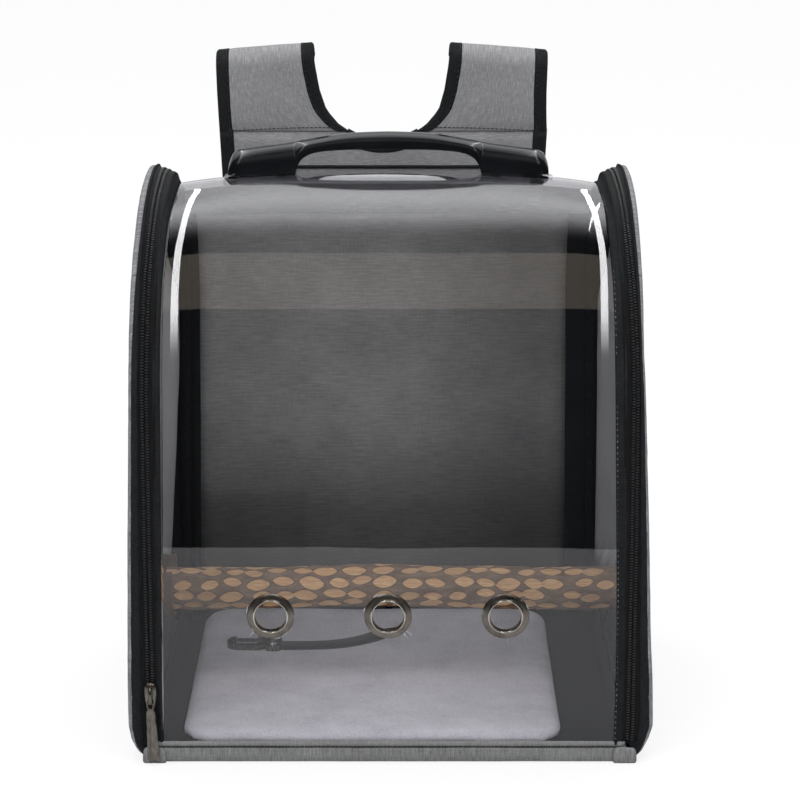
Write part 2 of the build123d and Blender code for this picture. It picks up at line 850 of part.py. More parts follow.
# the run of the tether from the patch: steps left and forward
tether_steps = ((0.0, 26.5), (13.0, 26.0), (22.0, 18.0), (27.0, 8.0), (28.0, -1.0))
tether_points = [(patch_x, patch_face)]
for left, forward in tether_steps:
    tether_points.append((tether_points[-1][0] - left, tether_points[-1][1] - forward))
bend_share = 0.45


def corner_radii(points):
    # the widest bend that fits each corner of the path
    radii = []
    for a, b, c in zip(points, points[1:], points[2:]):
        first = Vector(b[0] - a[0], b[1] - a[1], 0)
        second = Vector(c[0] - b[0], c[1] - b[1], 0)
        half_turn = radians(first.get_angle(second)) / 2
        radii.append(bend_share * min(first.length, second.length) / tan(half_turn))
    return radii


tether_radii = corner_radii(tether_points)

with BuildPart() as tether_strap:
    with BuildLine(Plane.XY.offset(mat_top)) as tether_path:
        FilletPolyline(*tether_points, radius=tether_radii)
    tether_line = tether_path.wires()[0]
    web_plane = Plane(origin=tether_line @ 0, z_dir=tether_line % 0, x_dir=(0, 0, 1))
    with BuildSketch(web_plane) as web:
        with Locations((tether_thick / 2, 0)):
            Rectangle(tether_thick, tether_wide)
    sweep(web.sketch, path=tether_line)
save(tether_strap, "tether_strap")
print("tether length", round(tether_line.length, 2), "radii", [round(r, 1) for r in tether_radii])
web_volume = tether_line.length * tether_wide * tether_thick
print("tether volume", round(tether_strap.part.volume, 1), round(web_volume, 1))

# the sewn patch on the foot of the back panel that holds the tether
with BuildPart() as tether_patch:
    block(patch_x - patch_half, patch_x + patch_half, patch_face, half_depth - back_thick,
          mat_top - patch_drop, mat_top + patch_rise)
    fillet(tether_patch.edges().filter_by(Axis.Y).group_by(Axis.Z)[-1], patch_corner)
save(tether_patch, "tether_patch")

hook_thick = 4.4
gate_thick = 1.8
gate_wide = 2.4
gate_r = 2.0
gate_pin_r = 1.0
pin_clear = 0.05
fork_gap = 0.1
fork_half = 2.7
hook_end = tether_points[-1]
hook_from = tether_points[-2]
hook_plane = Plane(
    origin=(hook_end[0], hook_end[1], mat_top),
    x_dir=(hook_end[0] - hook_from[0], hook_end[1] - hook_from[1], 0),
    z_dir=(0, 0, 1),
)
eye_len = 11.0
eye_wide = 21.0
eye_wall = 3.0
ring_x0 = eye_len - 1.0
ring_len = 30.0
ring_wide = 19.0
ring_wall = 4.0
ring_corner = 9.0
eye_mid = eye_len / 2
ring_mid = ring_x0 + ring_len / 2
pivot_set_in = 5.8
pivot_x = ring_x0 + pivot_set_in
pivot_y = -7.1
mouth_from = pivot_x + 2.2
nose_x = ring_x0 + 24.0
mouth_top = -3.6

# snap hook: an eye for the webbing and an open ring closed by a gate
with BuildPart() as tether_hook:
    with BuildSketch(hook_plane):
        with Locations((eye_mid, 0)):
            RectangleRounded(eye_len, eye_wide, eye_wall)
        with Locations((ring_mid, 0)):
            RectangleRounded(ring_len, ring_wide, ring_corner)
        with Locations((eye_mid, 0)):
            RectangleRounded(eye_len - 2 * eye_wall, eye_wide - 2 * eye_wall, eye_wall / 2,
                             mode=Mode.SUBTRACT)
        with Locations((ring_mid, 0)):
            RectangleRounded(ring_len - 2 * ring_wall, ring_wide - 2 * ring_wall, ring_corner - ring_wall,
                             mode=Mode.SUBTRACT)
        # the mouth the gate closes, with room for the gate to swing in
        with Locations(((mouth_from + nose_x) / 2, mouth_top - ring_wide / 2)):
            Rectangle(nose_x - mouth_from, ring_wide, mode=Mode.SUBTRACT)
    extrude(amount=hook_thick)
    with BuildSketch(hook_plane.offset((hook_thick - gate_thick) / 2 - fork_gap)):
        with Locations((pivot_x, pivot_y)):
            Rectangle(2 * fork_half, 2 * fork_half)
    extrude(amount=gate_thick + 2 * fork_gap, mode=Mode.SUBTRACT)
    with BuildSketch(hook_plane):
        with Locations((pivot_x, pivot_y)):
            Circle(gate_pin_r)
    extrude(amount=hook_thick, mode=Mode.SUBTRACT)
save(tether_hook, "tether_hook")

with BuildPart() as gate_pin:
    with BuildSketch(hook_plane):
        with Locations((pivot_x, pivot_y)):
            Circle(gate_pin_r)
    extrude(amount=hook_thick)
save(gate_pin, "gate_pin")

with BuildPart() as hook_gate:
    with BuildSketch(hook_plane.offset((hook_thick - gate_thick) / 2)):
        with Locations((pivot_x, pivot_y)):
            Circle(gate_r)
        with Locations(((pivot_x + nose_x - moving_gap) / 2, pivot_y)):
            Rectangle(nose_x - moving_gap - pivot_x, gate_wide)
        with Locations((pivot_x, pivot_y)):
            Circle(gate_pin_r + pin_clear, mode=Mode.SUBTRACT)
    extrude(amount=gate_thick)
save(hook_gate, "hook_gate")
pivot = hook_plane.from_local_coords((pivot_x, pivot_y, hook_thick / 2))
print("gate pivot", pivot)
print("door hinge", half_width, hinge_z, "coil", coil_x, "pull axis", pull_axis_off, pull_axis_z)
print("spring line", spring_line, "perch", perch_z, "screw face", screw_face)
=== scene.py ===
from math import ceil, cos, exp, hypot, pi, radians, sin, sqrt
from random import Random

import bmesh
import bpy
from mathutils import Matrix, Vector, noise


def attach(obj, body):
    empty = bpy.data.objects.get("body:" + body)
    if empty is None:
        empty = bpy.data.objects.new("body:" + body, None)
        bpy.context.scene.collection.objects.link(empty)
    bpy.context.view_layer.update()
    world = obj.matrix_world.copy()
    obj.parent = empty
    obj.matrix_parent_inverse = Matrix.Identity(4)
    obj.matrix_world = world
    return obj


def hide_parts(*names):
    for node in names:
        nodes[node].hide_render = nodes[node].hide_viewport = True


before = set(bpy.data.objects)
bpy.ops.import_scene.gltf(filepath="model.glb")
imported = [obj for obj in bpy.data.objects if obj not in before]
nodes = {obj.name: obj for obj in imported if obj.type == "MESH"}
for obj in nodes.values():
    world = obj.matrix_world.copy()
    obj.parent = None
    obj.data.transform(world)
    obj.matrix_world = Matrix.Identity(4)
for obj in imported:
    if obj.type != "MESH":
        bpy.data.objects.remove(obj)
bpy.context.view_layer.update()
mm = 0.001
print("frame loaded")

# the shell, in mm: it is an arch seen from the side, straight walls under a half circle
shell = {
    "halfDepth": 128.0,
    "springLine": 255.0,
    "clearEdge": 149.0,  # where the window meets the black edge
    "zipLine": 160.0,  # where the two halves of each zip meet
    "outside": 172.0,
    # how far the soft sides lean out (+) or in (-) at heights over the floor, at those three stations
    "lean": [
        (0, 2.2, -0.6, -10.6), (3.4, 2.4, -0.3, -7.2), (8, 2.6, 0.0, -2.4), (14, 2.6, 0.0, 1.4), (26, 2.6, 0.0, 3.4),
        (60, 2.4, 0.0, 3.2), (150, 0.6, 0.0, 0.6), (255, -1.4, -0.8, -3.0), (330, -2.4, -2.4, -4.4),
        (372, -4.6, -4.6, -6.0), (385, -5.4, -5.4, -7.2)],
    # the right side leans out this much more than the left, at the window's edge, the zip and outside
    "rightMore": [
        (0, 1.6, 3.6, 3.2), (14, 2.0, 3.6, 1.8), (26, 2.2, 3.6, 3.6), (60, 2.8, 3.6, 2.6), (92, 3.2, 3.6, 1.4),
        (150, 3.2, 3.6, 0.8), (255, 2.2, 3.6, -0.7), (285, 1.8, 3.6, -2.0), (330, 1.6, 2.4, -1.4),
        (385, 1.6, 1.2, -0.2)],
}
bothSides = (("left", -1), ("right", 1))


def linear(code):
    # sRGB hex to linear colour
    parts = [int(code[i : i + 2], 16) / 255 for i in (0, 2, 4)]
    return (*[p / 12.92 if p <= 0.04045 else ((p + 0.055) / 1.055) ** 2.4 for p in parts], 1.0)


def feed(node, inputs):
    # each input gets a value, or a link from a socket or from the first output of a node
    for key, value in inputs.items():
        if isinstance(value, bpy.types.Node):
            value = value.outputs[0]
        if isinstance(value, bpy.types.NodeSocket):
            node.id_data.links.new(value, node.inputs[key])
        else:
            node.inputs[key].default_value = value


def addNode(tree, kind, inputs=None, ramp=None, **settings):
    # one node with its settings, its values and its links; a ramp has (place, hex colour) rows
    node = tree.nodes.new("ShaderNode" + kind)
    for key, value in settings.items():
        setattr(node, key, value)
    if ramp:
        while len(node.color_ramp.elements) < len(ramp):
            node.color_ramp.elements.new(0.5)
        for element, (place, code) in zip(node.color_ramp.elements, ramp):
            element.position, element.color = place, linear(code)
    feed(node, inputs or {})
    return node


def speckle(tree, coords, scale, detail=2.0, rough=0.5):
    # noise with its own scale along each axis
    place = addNode(tree, "Mapping", {"Vector": coords, "Scale": scale})
    return addNode(tree, "TexNoise", {"Vector": place, "Scale": 1.0, "Detail": detail, "Roughness": rough})


def newMaterial(name, inputs=None, kind="BsdfPrincipled"):
    # a material with one shader on its output
    material = bpy.data.materials.new(name)
    material.use_nodes = True
    tree = material.node_tree
    tree.nodes.clear()
    shader = addNode(tree, kind, inputs)
    addNode(tree, "OutputMaterial", {"Surface": shader})
    return material, tree, shader


def smoothStep(low, high, value):
    t = min(max((value - low) / (high - low), 0.0), 1.0)
    return t * t * (3 - 2 * t)


def between(table, value):
    # straight lines between the rows of a table, which starts each row with its place
    if value <= table[0][0]:
        return table[0][1:]
    for low, high in zip(table, table[1:]):
        if value <= high[0]:
            share = (value - low[0]) / (high[0] - low[0])
            return [a + (b - a) * share for a, b in zip(low[1:], high[1:])]
    return table[-1][1:]


def evenly(start, end, step):
    # places from start to end, no further apart than step
    count = max(1, ceil(abs(end - start) / step))
    return [start + (end - start) * i / count for i in range(count + 1)]


def lumps(point, size, seed=0.0):
    # soft even lumps from -1 to 1, size in mm
    return noise.noise(Vector(point) / size + Vector((seed, 1.7 * seed, 0.3)))


def acrossAt(side, station, y, z):
    # the x of a station across the shell, with the lean of the soft sides
    lean = between(shell["lean"], z)
    if side > 0:
        front = smoothStep(60, -60, y)
        more = between(shell["rightMore"], z)
        lean = [lean[0] + more[0] * front, lean[1] + more[1] * front, lean[2] + more[2]]
    stations = (shell["clearEdge"], shell["zipLine"], shell["outside"])
    return side * (station + between([(100.0, 0.0), *zip(stations, lean)], station)[0])


def archTurn(run):
    # radians up the arch from its spring line; run is mm from the floor up the front, over and down the back
    return (run - shell["springLine"]) / shell["halfDepth"]


def archAt(run):
    # y, z and the way out of the arch
    rise, radius = shell["springLine"], shell["halfDepth"]
    if run <= rise:
        return -radius, run, -1.0, 0.0
    if run <= rise + pi * radius:
        a = archTurn(run)
        return -radius * cos(a), rise + radius * sin(a), -cos(a), sin(a)
    return radius, 2 * rise + pi * radius - run, 1.0, 0.0


archLength = 2 * shell["springLine"] + pi * shell["halfDepth"]


def onShell(side, station, run, out=0.0):
    # a point of the shell, out mm proud of the arch
    y, z, outY, outZ = archAt(run)
    return acrossAt(side, station, y, z), y + outY * out, z + outZ * out


def overShell(x, run, out):
    # the same for an x on either side
    return onShell(1 if x >= 0 else -1, abs(x), run, out)


def makeObject(name, verts, faces, material, uvs=None, smooth=True):
    # verts in mm; uvs has one pair in mm for each corner of each face
    mesh = bpy.data.meshes.new(name)
    mesh.from_pydata([[c * mm for c in v] for v in verts], [], faces)
    if uvs:
        flat = [pair for face in uvs for pair in face]
        mesh.uv_layers.new(name="thread").data.foreach_set("uv", [c * mm for pair in flat for c in pair])
    thing = bpy.data.objects.new(name, mesh)
    bpy.context.scene.collection.objects.link(thing)
    if material:
        mesh.materials.append(material)
    if smooth:
        mesh.shade_smooth()
    return thing


def tidy(thing):
    # outward normals
    work = bmesh.new()
    work.from_mesh(thing.data)
    bmesh.ops.recalc_face_normals(work, faces=work.faces)
    work.to_mesh(thing.data)
    work.free()
    return thing


def applyAll(thing):
    # its modifiers become its mesh
    bpy.context.view_layer.update()
    view = bpy.context.evaluated_depsgraph_get()
    mesh = bpy.data.meshes.new_from_object(thing.evaluated_get(view))
    thing.modifiers.clear()
    thing.data = mesh
    return thing


def finishPiece(thing, body, slot, *replaced):
    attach(thing, body)
    if replaced:
        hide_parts(*replaced)
    return thing


def pointValues(thing, name, values):
    # one number for each point of the mesh, which its material reads
    thing.data.attributes.new(name, "FLOAT", "POINT").data.foreach_set("value", values)


def tubeFaces(rings, size, base=0):
    # faces between rings of size points each, with flat ends
    faces = []
    for i in range(rings - 1):
        low, high = base + i * size, base + (i + 1) * size
        for j in range(size):
            k = (j + 1) % size
            faces.append((low + j, low + k, high + k, high + j))
    last = base + (rings - 1) * size
    return faces + [tuple(range(base + size - 1, base - 1, -1)), tuple(range(last, last + size))]


def ringFaces(rings, size, base=0):
    # faces of a closed ring of closed sections
    return [(base + i * size + j, base + (i + 1) % rings * size + j, base + (i + 1) % rings * size + (j + 1) % size,
             base + i * size + (j + 1) % size) for i in range(rings) for j in range(size)]


def slabFaces(wide, long):
    # faces of two sheets of wide by long points, one over the other, and the walls round them
    faces, count = [], wide * long
    for base in (0, count):
        for i in range(long - 1):
            for j in range(wide - 1):
                a, b = base + i * wide + j, base + (i + 1) * wide + j
                faces.append((a, a + 1, b + 1, b))
    rim = list(range(wide)) + [i * wide + wide - 1 for i in range(1, long)]
    rim += [(long - 1) * wide + j for j in range(wide - 2, -1, -1)] + [i * wide for i in range(long - 2, 0, -1)]
    return faces, [(a, b, b + count, a + count) for a, b in zip(rim, rim[1:] + rim[:1])]


def flatUvs(verts, faces, u, v):
    # the weave laid flat over two axes
    return [[(verts[i][u], verts[i][v]) for i in face] for face in faces]


def lengths(points):
    # distances along a line of points
    out = [0.0]
    for a, b in zip(points, points[1:]):
        out.append(out[-1] + hypot(b[0] - a[0], b[1] - a[1]))
    return out


def tube(name, material, verts, along, around, *finish):
    # a finished piece from rings of points; along and around give their distances, which lay the weave
    uvs = [((a, low), (b, low), (b, high), (a, high))
           for low, high in zip(along, along[1:]) for a, b in zip(around, around[1:])]
    uvs += [[(a, 0.0) for a in around[:-1]]] * 2
    thing = makeObject(name, verts, tubeFaces(len(along), len(around) - 1), material, uvs)
    return finishPiece(tidy(thing), *finish)


def sweep(name, material, section, along, place, *finish):
    # a closed section carried along; place(a, b, along) gives each of its points
    verts = [place(*point, spot) for spot in along for point in section]
    return tube(name, material, verts, along, lengths(section + section[:1]), *finish)


def capsule(verts, faces, centre, axis, up, length, wide, high, sides=6):
    # a small rounded rod laid along axis
    third = axis.cross(up)
    base = len(verts)
    for share, swell in ((0.0, 0.45), (0.28, 1.0), (0.72, 1.0), (1.0, 0.45)):
        for j in range(sides):
            a = 2 * pi * j / sides
            verts.append(centre + axis * (share - 0.5) * length + third * (wide / 2 * cos(a) * swell)
                         + up * (high / 2 * sin(a) * swell))
    faces.extend(tubeFaces(4, sides, base))


# pitch, length and thickness of the stitches of each seam
stitches = {
    "panel": (3.4, 2.5, 0.7),
    "binding": (4.6, 1.2, 0.5),
    "joint": (3.2, 2.4, 0.6),
    "strap": (3.0, 2.2, 0.55),
    "yoke": (2.6, 2.3, 0.7),
    "tray": (3.1, 2.3, 0.55),
    "piping": (3.0, 3.3, 0.9),
}


def stitchRow(name, material, points, ups, kind, body, slot):
    # separate stitches along a line of points, lying on the cloth; ups is one way up, or one for each point
    verts, faces = [], []
    pitch, length, thread = stitches[kind]
    if isinstance(ups, tuple):
        ups = [ups] * len(points)
    for a, b, up in zip(points, points[1:], ups):
        a, b, up = Vector(a), Vector(b), Vector(up)
        count = max(1, round((b - a).length / pitch))
        axis = (b - a).normalized()
        for i in range(count):
            centre = a + (b - a) * ((i + 0.5) / count)
            capsule(verts, faces, centre, axis, up, length, thread, thread * 0.7, sides=5)
    return finishPiece(tidy(makeObject(name, verts, faces, material)), body, slot)


def lathe(name, material, profile, centre, sides, *finish):
    # a closed profile of (radius, height) turned about the y axis
    axis = Vector((0, 1, 0))
    across = axis.orthogonal().normalized()
    third = axis.cross(across)
    verts = []
    for j in range(sides):
        a = 2 * pi * j / sides
        spoke = across * cos(a) + third * sin(a)
        verts += [Vector(centre) + spoke * radius + axis * height for radius, height in profile]
    thing = makeObject(name, verts, ringFaces(sides, len(profile)), material)
    return finishPiece(tidy(thing), *finish)


def roundedLoop(halfX, halfY, corner, firstTurn, bends, spans):
    # a rounded rectangle as (x, y, outX, outY): steps round each corner, then steps along the next side
    loop = []
    quarters = [(1, 1), (-1, 1), (-1, -1), (1, -1)]
    for turn in range(firstTurn, firstTurn + 360, 90):
        (sx, sy), (nx, ny) = quarters[turn // 90 % 4], quarters[(turn // 90 + 1) % 4]
        for i in range(bends + 1):
            a = radians(turn + 90 * i / bends)
            loop.append((sx * (halfX - corner) + corner * cos(a), sy * (halfY - corner) + corner * sin(a),
                         cos(a), sin(a)))
        fromX, fromY, outX, outY = loop[-1]
        toX, toY = nx * (halfX - corner) + corner * outX, ny * (halfY - corner) + corner * outY
        for i in range(1, spans):
            t = i / spans
            loop.append((fromX + (toX - fromX) * t, fromY + (toY - fromY) * t, outX, outY))
    return loop


view = {"place": (8.0, -1728.0, 712.0), "tilt": 15.9, "focal": 114.75}  # mm, degrees, mm of lens
cameraData = bpy.data.cameras.new("camera")
cameraData.sensor_width = 36.0
cameraData.lens = view["focal"]
camera = bpy.data.objects.new("camera", cameraData)
camera.location = [c * mm for c in view["place"]]
camera.rotation_euler = (radians(90 - view["tilt"]), 0.0, 0.0)
bpy.context.scene.collection.objects.link(camera)
bpy.context.scene.camera = camera
bpy.context.scene.view_settings.view_transform = "Standard"

# the safety tether: a loose band lying on the mat, from the patch to the hook
tetherLook = {
    "wide": 16.0,
    "thick": 1.6,
    "lift": 18.85,  # mm over the floor
    "points": [(10, 118.5), (10, 92), (-3, 66), (-25, 48), (-52, 40), (-80, 41)],
}


def buildTether():
    line = bpy.data.curves.new("tether_line", "CURVE")
    line.dimensions = "3D"
    spline = line.splines.new("NURBS")
    spline.points.add(len(tetherLook["points"]) - 1)
    for point, (x, y) in zip(spline.points, tetherLook["points"]):
        point.co = (x * mm, y * mm, tetherLook["lift"] * mm, 1.0)
    spline.order_u = 3
    spline.use_endpoint_u = True
    spline.resolution_u = 16
    guide = bpy.data.objects.new("tether_line", line)
    bpy.context.scene.collection.objects.link(guide)
    bpy.context.view_layer.update()
    run = bpy.data.meshes.new_from_object(guide.evaluated_get(bpy.context.evaluated_depsgraph_get()))
    path = [v.co.copy() for v in run.vertices]
    bpy.data.objects.remove(guide)
    if path[0].y < path[-1].y:
        path.reverse()
    section = [(-0.5, 0), (-0.47, 0.5), (0, 0.5), (0.47, 0.5), (0.5, 0), (0.47, -0.5), (0, -0.5), (-0.47, -0.5)]
    verts = []
    for i, place in enumerate(path):
        ahead = (path[min(i + 1, len(path) - 1)] - path[max(i - 1, 0)]).normalized()
        across = Vector((-ahead.y, ahead.x, 0))
        verts += [(place + across * a * tetherLook["wide"] * mm + Vector((0, 0, h * tetherLook["thick"] * mm))) / mm
                  for a, h in section]
    band = tube("tether_band", None, verts, lengths([place / mm for place in path]),
                [0, 1, 9, 17, 18, 19, 27, 35, 36], "carrier", "webbing", "tether_strap")
    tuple(path[0])
    sum((b - a).length for a, b in zip(path, path[1:]))
    return band


tether = buildTether()

studio = {
    "fill": 1.0,  # light from all round, most from above and behind
    "mirrorDark": 0.03,  # what gloss sees of the dark front of the room
    "mirrorWhite": 2.6,  # and of the white paper behind
    "cardGlow": 1.24,  # the white card as the eye sees it, and how much of that is glow
    "cardLift": 0.62,
    # where the room turns from dark to light, along y or z of the way looked
    "behind": (-0.05, 0.62),
    "paper": (-0.1, 0.6),
    "through": (0.05, 0.75),
    "level": (0.4, 0.74),
    "high": (0.1, 0.85),
    # lamps: place, what they aim at and size in mm, power in watts
    "lamps": [("keyLamp", (-700, -1500, 1500), (0, 0, 180), (1300, 1300), 10.8),
              ("sideLamp", (1300, -900, 1100), (0, 0, 180), (900, 1300), 3.6),
              ("topLamp", (0, 100, 1900), (0, 0, 0), (1600, 1600), 10.8)],
    "tableFront": -570.0,  # mm, the white table ends here
    "tableReach": (12000.0, 40000.0),  # mm to each side and back
    # the soft box in front: degrees over the level, mm from the window and to each side, and its light
    "box": {"low": 41.5, "high": 79.0, "reach": 2600.0, "half": 1500.0, "height": 300.0, "glow": 0.62},
}


def buildWorld():
    # white behind the object for the eye and for glass; gloss sees a dark room in front and white paper behind
    world = bpy.data.worlds.new("studio")
    bpy.context.scene.world = world
    world.use_nodes = True
    tree = world.node_tree
    tree.nodes.clear()
    rays = addNode(tree, "LightPath").outputs
    place = addNode(tree, "TexCoord")
    axes = addNode(tree, "SeparateXYZ", {0: place.outputs["Generated"]}).outputs
    soft = {"interpolation_type": "SMOOTHSTEP"}

    def span(axis, name):
        low, high = studio[name]
        return {"Value": axes[axis], "From Min": low, "From Max": high}

    white = studio["mirrorWhite"]
    behind = addNode(tree, "MapRange", span("Y", "behind"), **soft)
    level = addNode(tree, "MapRange", {**span("Z", "level"), "To Min": 0.28 * white, "To Max": white}, **soft)
    gloss = addNode(tree, "MapRange", {"Value": behind, "To Min": studio["mirrorDark"], "To Max": level})
    high = addNode(tree, "MapRange", {**span("Z", "high"), "To Min": 0.35}, **soft)
    paper = addNode(tree, "MapRange", {**span("Y", "paper"), "To Max": 0.75})
    around = addNode(tree, "Math", {0: high, 1: paper}, operation="MAXIMUM")
    strength = addNode(tree, "Math", {0: around, 1: studio["fill"]}, operation="MULTIPLY")
    backdrop = addNode(tree, "Background", {"Color": (1, 1, 1, 1), "Strength": 1.0})
    mirrored = addNode(tree, "Background", {"Color": linear("f6f7fa"), "Strength": gloss})
    fill = addNode(tree, "Background", {"Color": linear("fdfdff"), "Strength": strength})
    # light thrown back out of the sheet sees the room, light that went through it sees white
    through = addNode(tree, "MapRange", span("Y", "through"), **soft)
    past = addNode(tree, "Math", {0: rays["Is Transmission Ray"], 1: through}, operation="MULTIPLY")
    plain = addNode(tree, "Math", {0: rays["Is Camera Ray"], 1: past}, operation="MAXIMUM")
    mirror = addNode(tree, "Math", {0: rays["Is Glossy Ray"], 1: rays["Is Transmission Ray"]}, operation="MAXIMUM")
    inGloss = addNode(tree, "MixShader", {0: mirror, 1: fill, 2: mirrored})
    shown = addNode(tree, "MixShader", {0: plain, 1: inGloss, 2: backdrop})
    addNode(tree, "OutputWorld", {"Surface": shown})


def stagePiece(name, verts, faces, material, *unseenBy):
    thing = makeObject(name, verts, faces, material, smooth=False)
    for rays in unseenBy:
        setattr(thing, "visible_" + rays, False)
    return thing


def buildStage():
    # white card: mostly lifts to paper white for the eye, and still takes the soft shadow
    card, tree, shader = newMaterial("paperCard", {
        "Base Color": linear("d2d2d3"), "Roughness": 0.9, "Specular IOR Level": 0.1})
    rays = addNode(tree, "LightPath").outputs
    glow = addNode(tree, "Emission", {"Color": (1, 1, 1, 1), "Strength": studio["cardGlow"]})
    lift = addNode(tree, "Math", {0: rays["Is Camera Ray"], 1: studio["cardLift"]}, operation="MULTIPLY")
    mixed = addNode(tree, "MixShader", {0: lift, 1: shader, 2: glow})
    feed(tree.nodes["Material Output"], {"Surface": mixed})
    front, (wide, far) = studio["tableFront"], studio["tableReach"]
    square = [(0, 1, 2, 3)]
    stagePiece("tableTop", [(-wide, front, 0), (wide, front, 0), (wide, far, 0), (-wide, far, 0)], square, card)
    stagePiece("tableFar", [(-wide, -far, 0), (wide, -far, 0), (wide, front, 0), (-wide, front, 0)], square, card,
               "glossy", "transmission")
    # the soft box in front and above, which shows as the warm band in the window
    box = studio["box"]
    cloth = newMaterial("softBoxCloth", {"Color": linear("fff1de"), "Strength": box["glow"]}, "Emission")[0]
    corners = []
    for degrees, x in ((box["low"], -1), (box["low"], 1), (box["high"], 1), (box["high"], -1)):
        a = radians(degrees)
        corners.append((x * box["half"], -shell["halfDepth"] - box["reach"] * cos(a),
                        box["height"] + box["reach"] * sin(a)))
    stagePiece("softBox", corners, square, cloth, "camera", "diffuse", "shadow")


def addLamp(name, place, aim, size, power):
    data = bpy.data.lights.new(name, "AREA")
    data.shape, data.size, data.size_y = "RECTANGLE", size[0] * mm, size[1] * mm
    data.energy = power
    lamp = bpy.data.objects.new(name, data)
    lamp.location = [c * mm for c in place]
    lamp.rotation_euler = (Vector(aim) - Vector(place)).to_track_quat("-Z", "Y").to_euler()
    lamp.visible_glossy = False
    lamp.visible_transmission = False
    bpy.context.scene.collection.objects.link(lamp)


buildWorld()
buildStage()
for lamp in studio["lamps"]:
    addLamp(*lamp)
print("camera, light and floor")

# what a cloth is when its own look says nothing else, lengths in mm
usualCloth = {
    "yarn": 0.9,
    "warpStreak": 6.0,
    "weftStreak": 5.0,
    "weftShare": 0.3,  # how much of the tone comes from the yarns across
    "drift": 0.2,  # slow changes of tone
    "spread": 0.2,  # how far apart the dark and light tones lie
    "shade": False,  # whether the piece carries painted shade from its own shade values
    "roughness": 0.9,
    "sheen": 0.0,
    "specular": 0.25,
    "relief": 0.3,
}


def wovenCloth(name, look):
    # plain weave: threads cross over and under, lighter and darker yarns run as short streaks
    look = {**usualCloth, **look}
    material, tree, shader = newMaterial(name, {
        "Roughness": look["roughness"], "Sheen Weight": look["sheen"], "Sheen Roughness": 0.5,
        "Specular IOR Level": look["specular"]})
    thread = addNode(tree, "TexCoord").outputs["UV"]
    fine, cloudy, drift = 1 / (look["yarn"] * mm), 1 / (35 * mm), look["drift"]
    warp = speckle(tree, thread, (fine, 1 / (look["warpStreak"] * mm), fine), rough=0.6)
    weft = speckle(tree, thread, (1 / (look["weftStreak"] * mm), fine, fine), rough=0.6)
    tone = addNode(tree, "Mix", {"Factor": look["weftShare"], "A": warp, "B": weft}, data_type="FLOAT")
    cloud = speckle(tree, thread, (cloudy, cloudy, cloudy), 3.0)
    drifting = addNode(tree, "Math", {0: cloud, 1: drift, 2: tone}, operation="MULTIPLY_ADD")
    middle, spread = 0.5 + 0.5 * drift, look["spread"]
    colour = addNode(tree, "ValToRGB", {0: drifting}, ramp=[
        (middle - spread, look["dark"]), (middle, look["mid"]), (middle + spread, look["light"])])
    # painted shade: each point's shade value darkens the colour towards 2b2a29
    if look["shade"]:
        shade = addNode(tree, "Attribute", attribute_name="shade")
        colour = addNode(tree, "Mix", {
            "Factor": shade.outputs["Fac"], "A": colour, "B": linear("2b2a29")}, data_type="RGBA").outputs["Result"]
    weave = addNode(tree, "Mapping", {"Vector": thread, "Scale": (pi * fine,) * 3})
    axes = addNode(tree, "SeparateXYZ", {0: weave}).outputs
    over = addNode(tree, "Math", {0: axes["X"]}, operation="SINE")
    under = addNode(tree, "Math", {0: axes["Y"]}, operation="SINE")
    cross = addNode(tree, "Math", {0: over, 1: under}, operation="MULTIPLY")
    height = addNode(tree, "Math", {0: cross, 1: 0.5, 2: tone}, operation="MULTIPLY_ADD")
    bump = addNode(tree, "Bump", {"Height": height, "Strength": look["relief"], "Distance": 0.25 * mm})
    feed(shader, {"Base Color": colour, "Normal": bump})
    return material


# heather grey polyester, woven from light and dark yarns: short pale and dark streaks, matt;
# the real yarn is 0.3 mm and is drawn at 0.75 mm so that it shows
heather = {"yarn": 0.75, "warpStreak": 11.0, "weftStreak": 7.0, "weftShare": 0.38, "drift": 0.16, "spread": 0.16,
           "relief": 0.35}
greyCloth = wovenCloth("wovenHeatherPolyester", {
    **heather, "dark": "6d6e70", "mid": "929395", "light": "b2b3b5", "roughness": 0.88, "sheen": 0.12})
# the same cloth on the sides, painted a tone darker as painted shade, and without its bloom where it turns away
panelCloth = wovenCloth("wovenHeatherPanel", {
    **heather, "dark": "626365", "mid": "828385", "light": "a3a4a6", "specular": 0.08})
# the same cloth laid with its streaks level, for the inside of the back, painted lighter than the outer cloth as
# painted light and darkened by its painted shade
liningCloth = wovenCloth("wovenHeatherLining", {
    "yarn": 1.2, "warpStreak": 9.0, "weftStreak": 15.0, "weftShare": 0.68, "drift": 0.4, "spread": 0.22,
    "shade": True, "dark": "9c9c99", "mid": "b1b1ad", "light": "c6c6c1", "relief": 0.12})
# finer heather on the straps: smaller streaks, matt mid grey
strapCloth = wovenCloth("wovenStrapPolyester", {
    "yarn": 0.6, "warpStreak": 6.5, "dark": "7a7a7b", "mid": "929293", "light": "aaaaab"})
# coarser heather over the tray's board: darker, with its streaks upright
trayCloth = wovenCloth("wovenTrayPolyester", {
    "warpStreak": 12.0, "weftStreak": 6.0, "spread": 0.17, "dark": "6c6c6b", "mid": "828382", "light": "999a99"})
# brushed polyester lining of the sides: soft plain grey with painted shade round the floor; the left one is painted
# lighter as painted light
brushed = {"warpStreak": 8.0, "weftStreak": 8.0, "weftShare": 0.5, "drift": 0.5, "spread": 0.3, "shade": True,
           "relief": 0.2}
sideLinings = {
    -1: wovenCloth("brushedLiningPaintedLighter", {**brushed, "dark": "c8c8c6", "mid": "d8d8d6", "light": "e2e2e0"}),
    1: wovenCloth("brushedLining", {**brushed, "dark": "a8a8a8", "mid": "b4b4b4", "light": "c0c0c0"}),
}
# black polyester, plain weave: nearly flat black with a faint grey bloom on its folds
blackCloth = wovenCloth("wovenBlackPolyester", {
    "weftShare": 0.5, "drift": 0.3, "dark": "191a1c", "mid": "222426", "light": "2d2f32", "roughness": 0.88,
    "relief": 0.5, "specular": 0.08})
